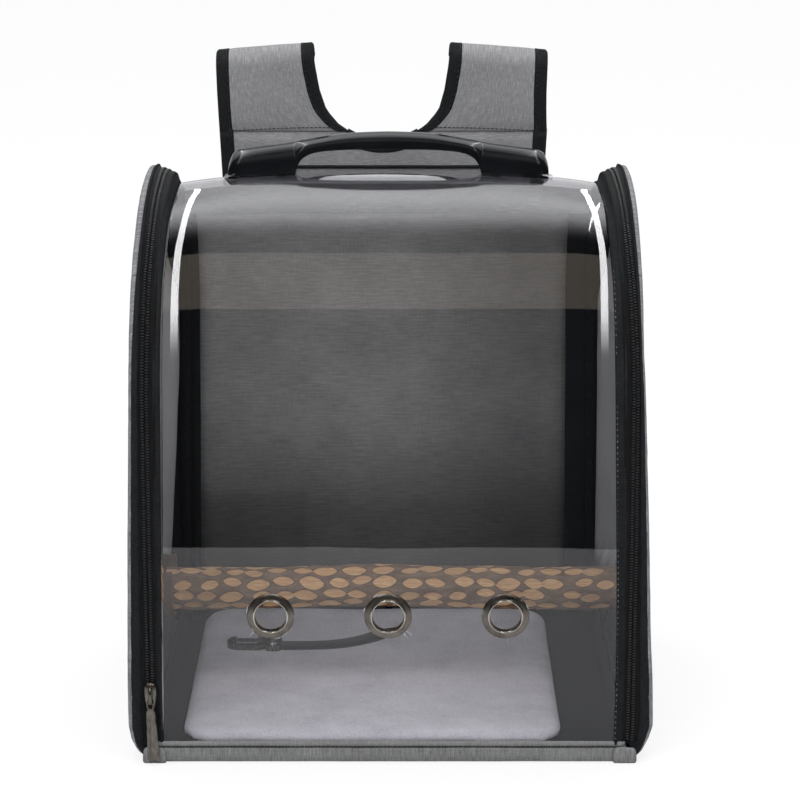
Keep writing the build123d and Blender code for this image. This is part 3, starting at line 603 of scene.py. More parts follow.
# blue-black lining over board: plain and dull
darkLining = wovenCloth("wovenDarkLining", {
    "warpStreak": 5.0, "weftShare": 0.5, "drift": 0.4, "dark": "181c1f", "mid": "1d2225", "light": "24292c",
    "relief": 0.05})
# polyester webbing, woven in ribs across its length: satin black
webbingCloth = wovenCloth("wovenWebbing", {
    "yarn": 1.1, "warpStreak": 9.0, "weftStreak": 2.0, "dark": "17181a", "mid": "232426", "light": "35363a",
    "roughness": 0.6, "sheen": 0.2, "relief": 0.8})
# zip tape, herringbone weave of fine nylon: flat black
zipTape = wovenCloth("wovenZipTape", {
    "yarn": 0.7, "warpStreak": 14.0, "weftStreak": 1.5, "dark": "08090a", "mid": "0e0f10", "light": "1a1b1d",
    "roughness": 0.8, "relief": 0.6})
usualFinish = {"metallic": 0.0, "specular": 0.5, "alpha": 1.0}


def plainFinish(name, look):
    # moulded or plated stock: its colour drifts a little, its gloss is broken by fine marks; grain is in mm
    look = {**usualFinish, **look}
    material, tree, shader = newMaterial(name, {
        "Metallic": look["metallic"], "Specular IOR Level": look["specular"], "Alpha": look["alpha"]})
    place = addNode(tree, "TexCoord").outputs["Object"]
    marks = speckle(tree, place, [1 / (g * mm) for g in look["grain"]], 4.0, 0.6)
    low, high = 0.3, 0.7
    colour = addNode(tree, "ValToRGB", {0: marks}, ramp=[(low, look["dark"]), (high, look["light"])])
    rough = addNode(tree, "MapRange", {
        "Value": marks, "From Min": low, "From Max": high, "To Min": look["rough"][0], "To Max": look["rough"][1]})
    bump = addNode(tree, "Bump", {"Height": marks, "Strength": look["relief"], "Distance": 0.1 * mm})
    feed(shader, {"Base Color": colour, "Roughness": rough, "Normal": bump})
    return material


# zinc alloy plated dark nickel and brushed: warm dark metal, brighter where hands rub it
gunmetal = plainFinish("platedDarkNickel", {
    "metallic": 1.0, "dark": "5b5853", "light": "8f8a82", "rough": (0.26, 0.38), "grain": (1.5, 1.5, 6),
    "relief": 0.06})
# the eyelets' nickel, rolled and polished: mirror streaks on a dark ring
eyeletNickel = plainFinish("rolledNickel", {
    "metallic": 1.0, "dark": "67615a", "light": "8d867d", "rough": (0.24, 0.36), "grain": (9, 9, 9), "relief": 0.06})
# the same nickel painted lighter on the turned lip of the barrel as a painted highlight: a thin light ring
brightNickel = plainFinish("nickelLipPaintedHighlight", {
    "metallic": 1.0, "dark": "b3aea6", "light": "dcd8d1", "rough": (0.16, 0.24), "grain": (9, 9, 9), "relief": 0.04})
# steel plated with zinc: pale grey, a little cloudy
zincSteel = plainFinish("zincPlatedSteel", {
    "metallic": 1.0, "dark": "8b8d90", "light": "b5b7b9", "rough": (0.25, 0.42), "grain": (3, 3, 3), "relief": 0.15})
# brass turned on a lathe: warm yellow with fine rings
turnedBrass = plainFinish("turnedBrass", {
    "metallic": 1.0, "dark": "9a7a3c", "light": "c9a45a", "rough": (0.2, 0.35), "grain": (8, 1, 1), "relief": 0.1})
# ABS moulded in a polished tool: deep black, sharp reflections, faint moulding waves
polishedAbs = plainFinish("polishedAbs", {
    "dark": "101214", "light": "191c1f", "rough": (0.1, 0.16), "grain": (40, 14, 14), "relief": 0.03,
    "specular": 0.2})
# acetal moulded in a spark-eroded tool: even fine grain, satin black
matteAcetal = plainFinish("mouldedAcetal", {
    "dark": "141516", "light": "222325", "rough": (0.42, 0.6), "grain": (0.9, 0.9, 0.9), "relief": 0.35})
# the same acetal in bark brown
brownAcetal = plainFinish("mouldedBrownAcetal", {
    "dark": "5c4a3b", "light": "7b6653", "rough": (0.5, 0.7), "grain": (5, 5, 5), "relief": 0.3})
# nylon monofilament of the zip coil: satin black rods
coilNylon = plainFinish("extrudedNylonCoil", {
    "dark": "1b1c1e", "light": "303134", "rough": (0.3, 0.45), "grain": (4, 4, 4), "relief": 0.05})
# polyester sewing thread, twisted: grey and black, dull with a fine fuzz
twisted = {"rough": (0.5, 0.7), "grain": (0.4, 0.4, 0.4), "relief": 0.3}
greyThread = plainFinish("greySewingThread", {**twisted, "dark": "7d7e80", "light": "a5a6a8"})
blackThread = plainFinish("blackSewingThread", {**twisted, "dark": "17181a", "light": "2b2c2f"})
# the clear plastic where it is torn: whitened, rough edges
tornPlastic = plainFinish("tornPetg", {
    "dark": "b9bbc0", "light": "eef0f4", "rough": (0.1, 0.35), "grain": (2, 2, 2), "relief": 0.5, "alpha": 0.55})
# thin protective film, crumpled: mostly clear with white creases
filmScrap = plainFinish("crumpledFilm", {
    "dark": "c6c8cc", "light": "f4f5f8", "rough": (0.05, 0.3), "grain": (4, 4, 4), "relief": 0.6, "alpha": 0.3})


def buildClearSheet():
    # extruded PETG, smoke tinted and polished: clear, grey, with sharp reflections; lamps light what it covers
    material, tree, glass = newMaterial("smokePetg", {
        "Base Color": linear("ebebee"), "Roughness": 0.0, "IOR": 1.5, "Transmission Weight": 1.0})
    rays = addNode(tree, "LightPath").outputs
    opening = addNode(tree, "BsdfTransparent", {"Color": linear("ebebed")})
    lamps = addNode(tree, "MixShader", {0: rays["Is Shadow Ray"], 1: glass, 2: opening})
    both = addNode(tree, "MixShader", {0: rays["Is Diffuse Ray"], 1: lamps, 2: opening})
    feed(tree.nodes["Material Output"], {"Surface": both})
    return material


def buildPlush():
    # short polyester pile: pale mauve grey, fine tufts brushed in patches
    material, tree, shader = newMaterial("knittedPlush", {
        "Roughness": 0.95, "Sheen Weight": 0.5, "Sheen Roughness": 0.4, "Specular IOR Level": 0.1})
    place = addNode(tree, "TexCoord").outputs["Object"]
    tufts = speckle(tree, place, (1 / 0.0016,) * 3)
    patches = speckle(tree, place, (1 / 0.03, 1 / 0.02, 1 / 0.03), 4.0, 0.6)
    both = addNode(tree, "Mix", {"Factor": 0.55, "A": tufts, "B": patches}, data_type="FLOAT")
    colour = addNode(tree, "ValToRGB", {0: both}, ramp=[(0.34, "c8c6cc"), (0.5, "dcdade"), (0.66, "e8e7ea")])
    bump = addNode(tree, "Bump", {"Height": tufts, "Strength": 0.6, "Distance": 0.8 * mm})
    feed(shader, {"Base Color": colour, "Normal": bump})
    return material


def buildBranch():
    # a natural branch with its bark on: grey-brown, rough; the knife cuts show pale tan wood with darker rims
    material, tree, shader = newMaterial("barkedBranch", {"Specular IOR Level": 0.25})
    cut = addNode(tree, "Attribute", attribute_name="cut").outputs["Fac"]
    place = addNode(tree, "TexCoord").outputs["Object"]
    bark = speckle(tree, place, (1 / 0.011, 1 / 0.0035, 1 / 0.0035), 6.0, 0.65)
    barkColour = addNode(tree, "ValToRGB", {0: bark}, ramp=[(0.3, "62503f"), (0.5, "7e6855"), (0.7, "967f6a")])
    grain = speckle(tree, place, (1 / 0.014, 1 / 0.0009, 1 / 0.0009), 3.0)
    woodColour = addNode(tree, "ValToRGB", {0: grain}, ramp=[(0.3, "c29361"), (0.55, "dab07f"), (0.75, "e8c79b")])
    rim = addNode(tree, "ValToRGB", {0: cut}, ramp=[(0.25, "000000"), (0.56, "ffffff")])
    inner = addNode(tree, "Mix", {"Factor": rim, "A": barkColour, "B": woodColour}, data_type="RGBA")
    rimDark = addNode(tree, "ValToRGB", {0: cut}, ramp=[(0.1, "ffffff"), (0.27, "a88a72"), (0.42, "ffffff")])
    colour = addNode(tree, "Mix", {
        "Factor": 1.0, "A": inner.outputs["Result"], "B": rimDark}, data_type="RGBA", blend_type="MULTIPLY")
    rough = addNode(tree, "MapRange", {"Value": rim, "To Min": 0.85, "To Max": 0.6})
    bump = addNode(tree, "Bump", {"Height": bark, "Strength": 0.5, "Distance": 0.5 * mm})
    feed(shader, {"Base Color": colour.outputs["Result"], "Roughness": rough, "Normal": bump})
    return material


clearSheet = buildClearSheet()
plush = buildPlush()
branchBark = buildBranch()
print("materials")

clear = {
    "tiltFrom": 120.0,  # beyond this the bent sheet rolls down to its edges
    "tiltGain": 0.0062,  # radians a mm
    "flat": 3.5,  # the top of the arch is flattened by this much
    "sag": 6.2,  # and hangs this much lower at its edges
    "sagFrom": 58.0,
    "edge": 151.2,
    "thick": 1.2,
    "end": 2.4495,  # radians over the arch to the back seam
    "foot": 13.4,  # and mm over the floor at its front
    "waves": [(0.13, 0.35, 120.0, 4.0), (0.04, 1.0, 45.0, 9.0)],  # depth, stretch across, size, seed
    "cell": 6.0,  # the squares it is drawn in, and how far round an eyelet they give way to rings
    "clearance": 21,
    "rings": (0.33, 0.62, 0.85, 1.0),
    "stripAway": 2500.0,
    "stripGlow": 10.0,
    # where the strip lights show: degrees up the arch, station, half width
    "streaks": [
        (-1, [(12, 140.3, 2.2), (22, 140.3, 2.2), (30, 140.6, 2.2), (46, 140.3, 2.1), (62, 137.3, 1.9),
              (77, 135.0, 1.9)]),
        (1, [(12, 141.2, 2.2), (22, 141.2, 2.2), (30, 141.5, 2.2), (46, 142.4, 2.1), (62, 139.9, 1.9),
             (70, 138.2, 1.9), (77, 137.6, 1.9)]),
        (1, [(54, 134.6, 0.3), (60, 138.4, 1.0), (66, 142.4, 0.9), (70, 145.0, 0.3)])],
    "eyeletHole": 12.2,
    "eyeletZ": 106.0,
    "eyeletX": 78.54,
}
seamRun = shell["springLine"] + clear["end"] * shell["halfDepth"]


def topShare(run):
    # 1 on top of the arch, 0 on its front and back
    a = archTurn(run)
    return smoothStep(0.95, 1.42, a) * smoothStep(pi - 0.6, pi - 1.2, a)


def clearDrop(x, run):
    # how far the sheet lies under a true round arch: edges rolled down, and a flatter top that hangs to its edges
    a, top = archTurn(run), topShare(run)
    roll = (0.7 + 0.15 * smoothStep(0.7, 1.1, a)) * smoothStep(-0.55, 0.0, a) * (1 - 0.9 * top)
    beyond = max(0.0, x - clear["tiltFrom"])
    aside = max(0.0, x - clear["sagFrom"]) / (shell["clearEdge"] - clear["sagFrom"])
    return clear["tiltGain"] * roll * beyond * beyond / 2 + top * (clear["flat"] + clear["sag"] * aside * aside)


sides = {
    "ringRise": 2.4,  # the padded edges stand this much proud over the arch
    "ringSlope": 4.8,  # and slope down towards the window by this much
    "ringWide": 18.5,
    "foot": 3.2,
    "puff": 3.0,  # how far the side panels swell
    "seamIn": 8.0,  # the seam runs this far in from the edge
    "tooth": (2.7, 1.15, 1.5),  # length, width and height of a zip tooth
    "toothPitch": 1.9,
    # how far from the floor each of them starts and ends, along the arch
    "edgingFrom": 3.4,
    "bindingFrom": 13.2,
    "postFrom": 13.5,
    "tapeFrom": 15.6,
    "teethFrom": 16.6,
    "creases": 0.5,
    "screwZ": 80.0,  # the perch screw pulls the panels in here, under a knob this wide
    "knob": 13.0,
    "panelInsets": [0, 0.6, 1.6, 3, 5, 6.6, 8, 9.4, 12, 16, 22, 30, 40, 52, 65, 79, 93, 107, 118, 125],
    "liningInsets": [0.8, 1.7, 3, 6, 10, 15, 22, 32, 46, 62, 80, 100, 118, 125],
    # sections as station and mm out of the arch, from the panel inwards
    "edging": [(160.05, -3.0), (160.05, -1.7), (161.4, -1.15), (164.2, -1.0), (165.0, -0.4), (165.8, 0.5),
               (167.0, 0.9), (168.4, 0.8), (169.4, 0.6), (170.3, 0.1), (170.3, -1.2), (170.0, -2.4), (168.6, -3.4),
               (165.0, -3.6)],
    "doorTape": [(160.03, -1.1), (160.05, -0.6), (163.4, -0.4), (166.1, 0.0), (166.3, -0.6), (163.0, -1.1)],
    "bodyTape": [(159.97, -1.1), (159.95, -0.6), (156.6, -0.35), (153.9, 0.15), (152.9, -0.1), (153.0, -0.9),
                 (156.8, -1.1)],
    # the binding over the window, and how much of the left one's shift outwards each point takes
    "binding": [(148.4, -3.4, 1), (148.0, -1.6, 1), (148.3, 0.5, 1), (149.2, 1.2, 1), (150.6, 1.1, 1),
                (151.6, 0.5, 0.7), (152.3, 0.15, 0.6), (153.9, 0.3, 0), (154.6, 0.0, 0), (155.2, -0.9, 0),
                (159.95, -1.3, 0), (159.95, -3.4, 0)],
    "bindingShift": {-1: 1.9, 1: 0.0},
    "post": {-1: 142.4, 1: 132.4},  # the inner edge of the black corner post
}


def ringLift(z):
    return sides["ringRise"] * smoothStep(300, 378, z)


def ringLevel(run, dip):
    # how proud of the arch the padded edge lies where the window takes it down by dip
    return ringLift(archAt(run)[1]) * (1 - smoothStep(0, 8, dip)) - dip


def panelLoop(inset, foot):
    # the D of a side panel, inset all round, as y and z
    radius, low, spring = shell["halfDepth"] - inset, foot + inset, shell["springLine"]
    corner = max(1.5, 4.0 - inset * 0.2)
    flat, rise = radius - corner, spring - low - corner

    def bend(middle, start):
        turns = [radians(start + 15 * i) for i in range(6)]
        return [(middle + corner * cos(a), low + corner + corner * sin(a)) for a in turns]

    points = [(-flat + 2 * flat * i / 30, low) for i in range(30)] + bend(flat, -90)
    points += [(radius, low + corner + rise * i / 34) for i in range(34)]
    points += [(radius * cos(pi * i / 60), spring + radius * sin(pi * i / 60)) for i in range(60)]
    return points + [(-radius, spring - rise * i / 34) for i in range(34)] + bend(-flat, 180)


def panelPoint(side, station, inset, y, z):
    # over the arch the rim of a panel is lifted with the padded edge
    beyond = max(0.0, z - shell["springLine"])
    lift = ringLift(z) * smoothStep(40, 0, inset)
    return acrossAt(side, station, y, z), y, z + lift * beyond / (hypot(y, beyond) or 1.0)


def screwPinch(y, z, reach=46.0):
    away, knob = hypot(y, z - sides["screwZ"]), sides["knob"]
    return exp(-((away / reach) ** 2) * 2.2) if away > knob else exp(-((knob / reach) ** 2) * 2.2) * 1.08


def panelSkin(name, material, side, insets, foot, face, back, padding, *finish):
    # a soft D panel: rings of the outline from its edge to its middle, and a plain back
    order = [(inset, None) for inset in reversed(insets)] + [(inset, face) for inset in insets]
    verts = []
    for inset, height in order:
        for y, z in panelLoop(inset, foot):
            station = height(inset, y, z) if height else back(inset)
            verts.append(panelPoint(side, station, inset, y, z))
    faces = tubeFaces(len(order), len(verts) // len(order))
    panel = tidy(makeObject(name, verts, faces, material, flatUvs(verts, faces, 1, 2)))
    return finishPiece(panel, *finish)


def buildSidePanel(sideName, side):
    door, outermost, foot = "door_" + sideName, shell["outside"], sides["foot"]

    def outside(inset, y, z):
        # it rolls over at its edge, swells, dips and puckers along the seam, and hangs slack in its middle
        roll = {0: -1.7, 0.6: -0.5, 1.6: 0.0}.get(inset, 0.0)
        rim = 0.28 * smoothStep(1, 4, inset) * smoothStep(9.5, 6.5, inset)
        swell = sides["puff"] * (smoothStep(6, 52, inset) + rim)
        seam = -0.9 * exp(-(((inset - sides["seamIn"]) / 1.6) ** 2))
        puckers = sides["creases"] * lumps((y, z, 0), 9.0, side) * exp(-(((inset - 12) / 9) ** 2))
        slack = 1.1 * lumps((y, z * 0.7, 30), 62.0, 3 + side) * smoothStep(10, 45, inset)
        place = outermost + roll + swell + seam + puckers + slack
        if side > 0:
            lean = acrossAt(side, outermost, y, z) - outermost
            place -= (place - (outermost - 0.4) + lean) * screwPinch(y, z)
        return place

    panelSkin(door + "_shell", panelCloth, side, sides["panelInsets"], foot, outside,
              lambda inset: 167.2 if inset < 3 else 168.9, 0.3, door, "gray_cloth", door + "_panel")
    # a pale seam round the panel
    loop, inset = panelLoop(sides["seamIn"], foot), sides["seamIn"]
    points = [panelPoint(side, outside(inset, y, z) + 0.15, inset, y, z) for y, z in loop + loop[:1]]
    stitchRow(door + "_seam", greyThread, points, (side, 0, 0), "panel", door, "gray_cloth")

    def liningFace(inset, y, z):
        # the lining swells into the cabin, most along its back
        most = 9.0 * smoothStep(30, 250, z) + 1.0 if side < 0 else 11.0
        rear = smoothStep(62, 112, y)
        swell = 1.6 * smoothStep(5, 40, inset) + most * rear * smoothStep(1.5, 9, inset) * smoothStep(8, 60, z)
        swell = max(swell - 9.0 * smoothStep(262, 306, z) * rear, 0.4) * (1 - screwPinch(y, z, 56.0))
        return 167.4 - swell - 0.5 * lumps((y, z, 80), 40.0, side)

    lining = panelSkin(door + "_inner_lining", sideLinings[side], side, sides["liningInsets"], 6.0, liningFace,
                       lambda inset: 168.6, 0.0, door, "gray_cloth", door + "_lining")
    # painted shade: the side lining darkens towards the floor
    pointValues(lining, "shade", [0.85 * smoothStep(78, 62, vert.co.z / mm) for vert in lining.data.vertices])


def ribbed(size, pitch, dips=0.0):
    # small cross ribs of a woven edging, only where it faces out; its inner part dips with the window's edge
    def shape(station, out, run):
        slope = topShare(run) * min(1.0, max(0.0, (168 - station) / sides["ringWide"])) * sides["ringSlope"]
        sunk = max(0.0, clearDrop(min(station, clear["edge"]), run) - slope)
        dip = slope + dips * smoothStep(154.5, 149.5, station) * sunk
        if out > -1.0:
            fuzz = noise.noise(Vector((station * 0.4, run * 0.22, 0)))
            out += size * sin(2 * pi * run / pitch) + size * 1.6 * fuzz
        if dips and out < -3.0 and station < 152:
            out -= 1.0
        station -= 2.6 * smoothStep(0.0, 1.0, archTurn(run)) * smoothStep(165.0, 169, station)
        return station, out + ringLevel(run, dip)
    return shape


def archSweep(name, material, side, section, start, step, shape, *finish):
    # a closed section of station and out carried along the arch, as far from the floor at both ends
    def place(station, out, run):
        station, out = shape(station, out, run)
        return onShell(side, station, run, out)
    sweep(name, material, section, evenly(start, archLength - start, step), place, *finish)


def buildZipTeeth(name, side, station, body, first):
    verts, faces = [], []
    run, end = sides["teethFrom"] + first, archLength - sides["teethFrom"]
    while run < end:
        out = Vector((0, *archAt(run)[2:]))
        slope = topShare(run) * (168 - station) / sides["ringWide"] * sides["ringSlope"]
        centre = Vector(onShell(side, station, run, ringLevel(run, slope) - 0.25))
        capsule(verts, faces, centre, Vector((side, 0, 0)), out, *sides["tooth"])
        run += sides["toothPitch"]
    finishPiece(tidy(makeObject(name, verts, faces, coilNylon)), body, "zip_nylon")


def buildEdges(sideName, side):
    # from the panel inwards: black edging, zip tape, coil, coil, zip tape, black binding over the window
    door, shift, line = "door_" + sideName, sides["bindingShift"][side], shell["zipLine"]
    archSweep(door + "_edging", blackCloth, side, sides["edging"], sides["edgingFrom"], 3.0, ribbed(0.16, 3.3),
              door, "black_cloth", door + "_gusset")
    for half, body, away, first in (("door", door, 1.55, 0), ("body", "carrier", -1.55, sides["toothPitch"] / 2)):
        archSweep(f"zip_tape_{sideName}_{half}", zipTape, side, sides[half + "Tape"], sides["tapeFrom"], 4.0,
                  ribbed(0.03, 2.2), body, "zip_nylon", f"zipper_{sideName}_{half}")
        buildZipTeeth(f"zip_teeth_{sideName}_{half}", side, line + away, body, first)
    binding = [(station + shift * share, out) for station, out, share in sides["binding"]]
    archSweep("binding_" + sideName, blackCloth, side, binding, sides["bindingFrom"], 3.0, ribbed(0.14, 2.9, 1.0),
              "carrier", "black_cloth", "gusset_" + sideName)
    # the black corner post at the back, between the binding and the back panel
    inner = sides["post"][side]
    section = [(inner, -3.3), (inner, -1.7), (inner + 2, -1.2), (144.5, -1.0), (150.6, -1.0), (151.0, -3.2),
               (145.5, -4.2), (inner + 2, -3.9)]

    def postPoint(station, out, run):
        x, y, z = onShell(side, station, run, out)
        return x + side * 0.5 * lumps((0, 0, archAt(run)[1]), 30, station), y, z

    places = evenly(shell["springLine"] + 2.44 * shell["halfDepth"], archLength - sides["postFrom"], 6.0)
    sweep("back_edge_" + sideName, darkLining, section, places, postPoint, "carrier", "black_cloth")
    # the thread along the binding
    points, ups = [], []
    for run in evenly(16.0, shell["springLine"] + 2.4 * shell["halfDepth"], 12.0):
        dip = max(clearDrop(149.3, run), topShare(run) * sides["ringSlope"])
        points.append(onShell(side, shell["clearEdge"] + shift, run, 1.0 + ringLevel(run, dip)))
        ups.append((0, *archAt(run)[2:]))
    stitchRow("binding_seam_" + sideName, greyThread if side > 0 else blackThread, points, ups, "binding",
              "carrier", "black_cloth")


for sideName, side in bothSides:
    buildSidePanel(sideName, side)
    buildEdges(sideName, side)
print("sides, zips and edges")


def clearPoint(x, run, inward=0.0):
    wave = sum(deep * lumps((x * stretch, run, 0), size, seed) for deep, stretch, size, seed in clear["waves"])
    still = smoothStep(13, 70, run) * smoothStep(568, 500, run)
    return overShell(x, run, wave * still - clearDrop(abs(x), run) - inward)


def onArchTop(x, y):
    # the height of the clear sheet over a place near the top of the arch
    return clearPoint(x, shell["springLine"] + (pi / 2 + y / shell["halfDepth"]) * shell["halfDepth"])[2]


def buildClear():
    # the clear sheet in one piece from the floor to the back seam: even squares by arc length,
    # and round each eyelet a square of them is swapped for rings of points
    hole, cell, middle, edge = clear["eyeletHole"], clear["cell"], clear["eyeletZ"], clear["edge"]
    rows = [clear["foot"]] + [16 + cell * i for i in range(int((seamRun - 18) / cell))] + [seamRun]
    columns = [-edge, -148.5, -145.5] + [0.54 + cell * i for i in range(-24, 24)] + [144.6, 147.8, edge]
    columns = sorted(set(round(c, 3) for c in columns))
    flat, index, faces, squares = [], {}, [], []

    def point(x, run):
        key = (round(x, 3), round(run, 3))
        if key not in index:
            index[key] = len(flat)
            flat.append((x, run))
        return index[key]

    def around(table, place):
        # the rows or columns on both sides of an eyelet
        return (max(i for i, c in enumerate(table) if c <= place - clear["clearance"]),
                min(i for i, c in enumerate(table) if c >= place + clear["clearance"]))

    for centre in (-clear["eyeletX"], 0.0, clear["eyeletX"]):
        squares.append((*around(columns, centre), *around(rows, middle), centre))
    for j in range(len(rows) - 1):
        for i in range(len(columns) - 1):
            if not any(left <= i < right and low <= j < high for left, right, low, high, centre in squares):
                faces.append((point(columns[i], rows[j]), point(columns[i + 1], rows[j]),
                              point(columns[i + 1], rows[j + 1]), point(columns[i], rows[j + 1])))
    for left, right, low, high, centre in squares:
        rim = [(columns[i], rows[low]) for i in range(left, right)]
        rim += [(columns[right], rows[j]) for j in range(low, high)]
        rim += [(columns[i], rows[high]) for i in range(right, left, -1)]
        rim += [(columns[left], rows[j]) for j in range(high, low, -1)]
        loops = [[point(*p) for p in rim]]
        for share in clear["rings"]:
            ring = []
            for x, run in rim:
                a = Vector((x - centre, run - middle)).normalized()
                ring.append(point(x + (centre + a.x * hole - x) * share, run + (middle + a.y * hole - run) * share))
            loops.append(ring)
        for a, b in zip(loops, loops[1:]):
            faces += [(a[i - 1], a[i], b[i], b[i - 1]) for i in range(1, len(rim))]
            faces.append((a[-1], a[0], b[0], b[-1]))
    verts = [clearPoint(*place) for place in flat] + [clearPoint(*place, clear["thick"]) for place in flat]
    count = len(flat)
    edges = dict.fromkeys(pair for face in faces for pair in zip(face, face[1:] + face[:1]))
    faces += [tuple(v + count for v in reversed(face)) for face in faces]
    faces += [(b, a, a + count, b + count) for a, b in edges if (b, a) not in edges]
    finishPiece(tidy(makeObject("clear_sheet", verts, faces, clearSheet)),
                "carrier", "clear_sheet", "clear_window", "window_arch")


def buildStreakLights():
    # a bent strip of light on each side, placed where the rolled edge of the sheet mirrors it
    glow, tree, light = newMaterial("stripLight", {"Color": (1, 1, 1, 1)}, "Emission")
    feed(light, {"Strength": addNode(tree, "Attribute", attribute_name="fade").outputs["Fac"]})
    eye = Vector(view["place"])
    for number, (side, table) in enumerate(clear["streaks"]):
        verts, fades = [], []
        spans = evenly(table[0][0], table[-1][0], 3.0)
        for degrees in spans:
            run = shell["springLine"] + radians(degrees) * shell["halfDepth"]
            middle, half = between(table, degrees)
            for x in (middle - half, middle + half):
                place = Vector(clearPoint(side * x, run))
                across = Vector(clearPoint(side * (x + 0.5), run)) - Vector(clearPoint(side * (x - 0.5), run))
                along = Vector(clearPoint(side * x, run + 1)) - Vector(clearPoint(side * x, run - 1))
                normal = along.cross(across).normalized()
                if normal.y > 0:
                    normal = -normal
                toEye = (eye - place).normalized()
                mirrored = normal * (2 * normal.dot(toEye)) - toEye
                verts.append(place + mirrored * clear["stripAway"])
                fades.append(clear["stripGlow"] * smoothStep(12, 30, degrees))
        faces = [(2 * i, 2 * i + 1, 2 * i + 3, 2 * i + 2) for i in range(len(spans) - 1)]
        strip = stagePiece(f"stripLight_{number + 1}", verts, faces, glow,
                           "camera", "diffuse", "shadow", "volume_scatter")
        pointValues(strip, "fade", fades)


eyelet = {
    # profiles as radius and mm behind the front of the sheet
    "ring": [(10.7, 3.6), (10.7, -1.2), (10.9, -1.7), (11.4, -1.95), (11.9, -1.8), (12.3, -1.35), (12.8, -1.25),
             (14.4, -1.0), (15.4, -0.55), (15.95, 0.0), (15.9, 0.35), (15.3, 0.1), (13.9, -0.35), (12.6, -0.5),
             (11.9, -0.3), (11.7, 0.4), (11.7, 3.6)],
    "lip": (11.25, -1.62, 0.62),  # its middle and its own radius
    "washer": [(11.5, 1.35), (14.6, 1.35), (15.0, 1.6), (14.6, 2.3), (12.4, 2.75), (11.7, 2.3)],
    # slivers: how many, their turns, distances out, tilts, lengths and widths, their height and place
    "slivers": [
        (7, (0, 2 * pi), (15.2, 16.6), (1.5, 5.0), (0.3, 0.8), 0.5, -128.3),
        (2, (-2.4, -0.7), (16.5, 20), (3, 6), (0.3, 0.7), 0.3, -128.2)],
}


def buildEyelet(name, x):
    # a rolled metal eyelet: domed flange outside, barrel through the sheet, washer behind
    z = clear["eyeletZ"]
    centre = (x, -shell["halfDepth"], z)
    ring = lathe(name, eyeletNickel, eyelet["ring"], centre, 72, "carrier", "gunmetal")
    # the turned lip of the barrel, with its painted highlight
    reach, height, radius = eyelet["lip"]
    turns = [2 * pi * i / 12 for i in range(12)]
    lathe(name + "_lip", brightNickel, [(reach + radius * cos(a), height + radius * sin(a)) for a in turns],
          centre, 72, "carrier", "gunmetal")
    lathe(name + "_washer", eyeletNickel, eyelet["washer"], centre, 60, "carrier", "gunmetal")
    # slivers of the clear sheet torn up round the ring when it was punched, most of them along it
    dice = Random(int(x) + 400)
    verts, faces = [], []
    for count, turns, reaches, long, wide, high, front in eyelet["slivers"]:
        for _ in range(count):
            a, reach = dice.uniform(*turns), dice.uniform(*reaches)
            if count > 2:
                axis = Vector((-sin(a), dice.uniform(-0.2, 0.0), cos(a)))
            else:
                axis = Vector((cos(a), -0.05, sin(a)))
            capsule(verts, faces, Vector((x + reach * cos(a), front, z + reach * sin(a))), axis.normalized(),
                    Vector((0, -1, 0)), dice.uniform(*long), dice.uniform(*wide), high)
    finishPiece(makeObject(name + "_burrs", verts, faces, tornPlastic), "carrier", "clear_sheet")
    return ring


buildClear()
buildStreakLights()
for number, x in enumerate((-clear["eyeletX"], 0.0, clear["eyeletX"])):
    ring = buildEyelet(f"eyelet_{number + 1}", x)
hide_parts("eyelet_flanges", "eyelet_washers")
print("clear sheet and eyelets")


def pillow(name, material, centre, size, corner, steps, top, bottom):
    # a rounded rectangle in rings from its edge to its middle; top and bottom give the height at (x, y, inset)
    halfX, halfY = size[0] / 2, size[1] / 2
    limit = min(halfX, halfY) - 1.0
    insets = [s for s in steps if s < limit] + [limit]
    order = [(i, bottom) for i in reversed(insets)] + [(i, top) for i in insets]
    verts = []
    for inset, height in order:
        for x, y, *out in roundedLoop(halfX - inset, halfY - inset, max(1.0, corner - inset), 0, 8, 24):
            verts.append((centre[0] + x, centre[1] + y, height(x, y, inset)))
    faces = tubeFaces(len(order), len(verts) // len(order))
    return tidy(makeObject(name, verts, faces, material, flatUvs(verts, faces, 0, 1)))


filling = {"frames": 20, "mass": 0.25, "tension": 30, "shear": 12, "bending": 0.6, "ripple": 0.4, "rippleSize": 30}


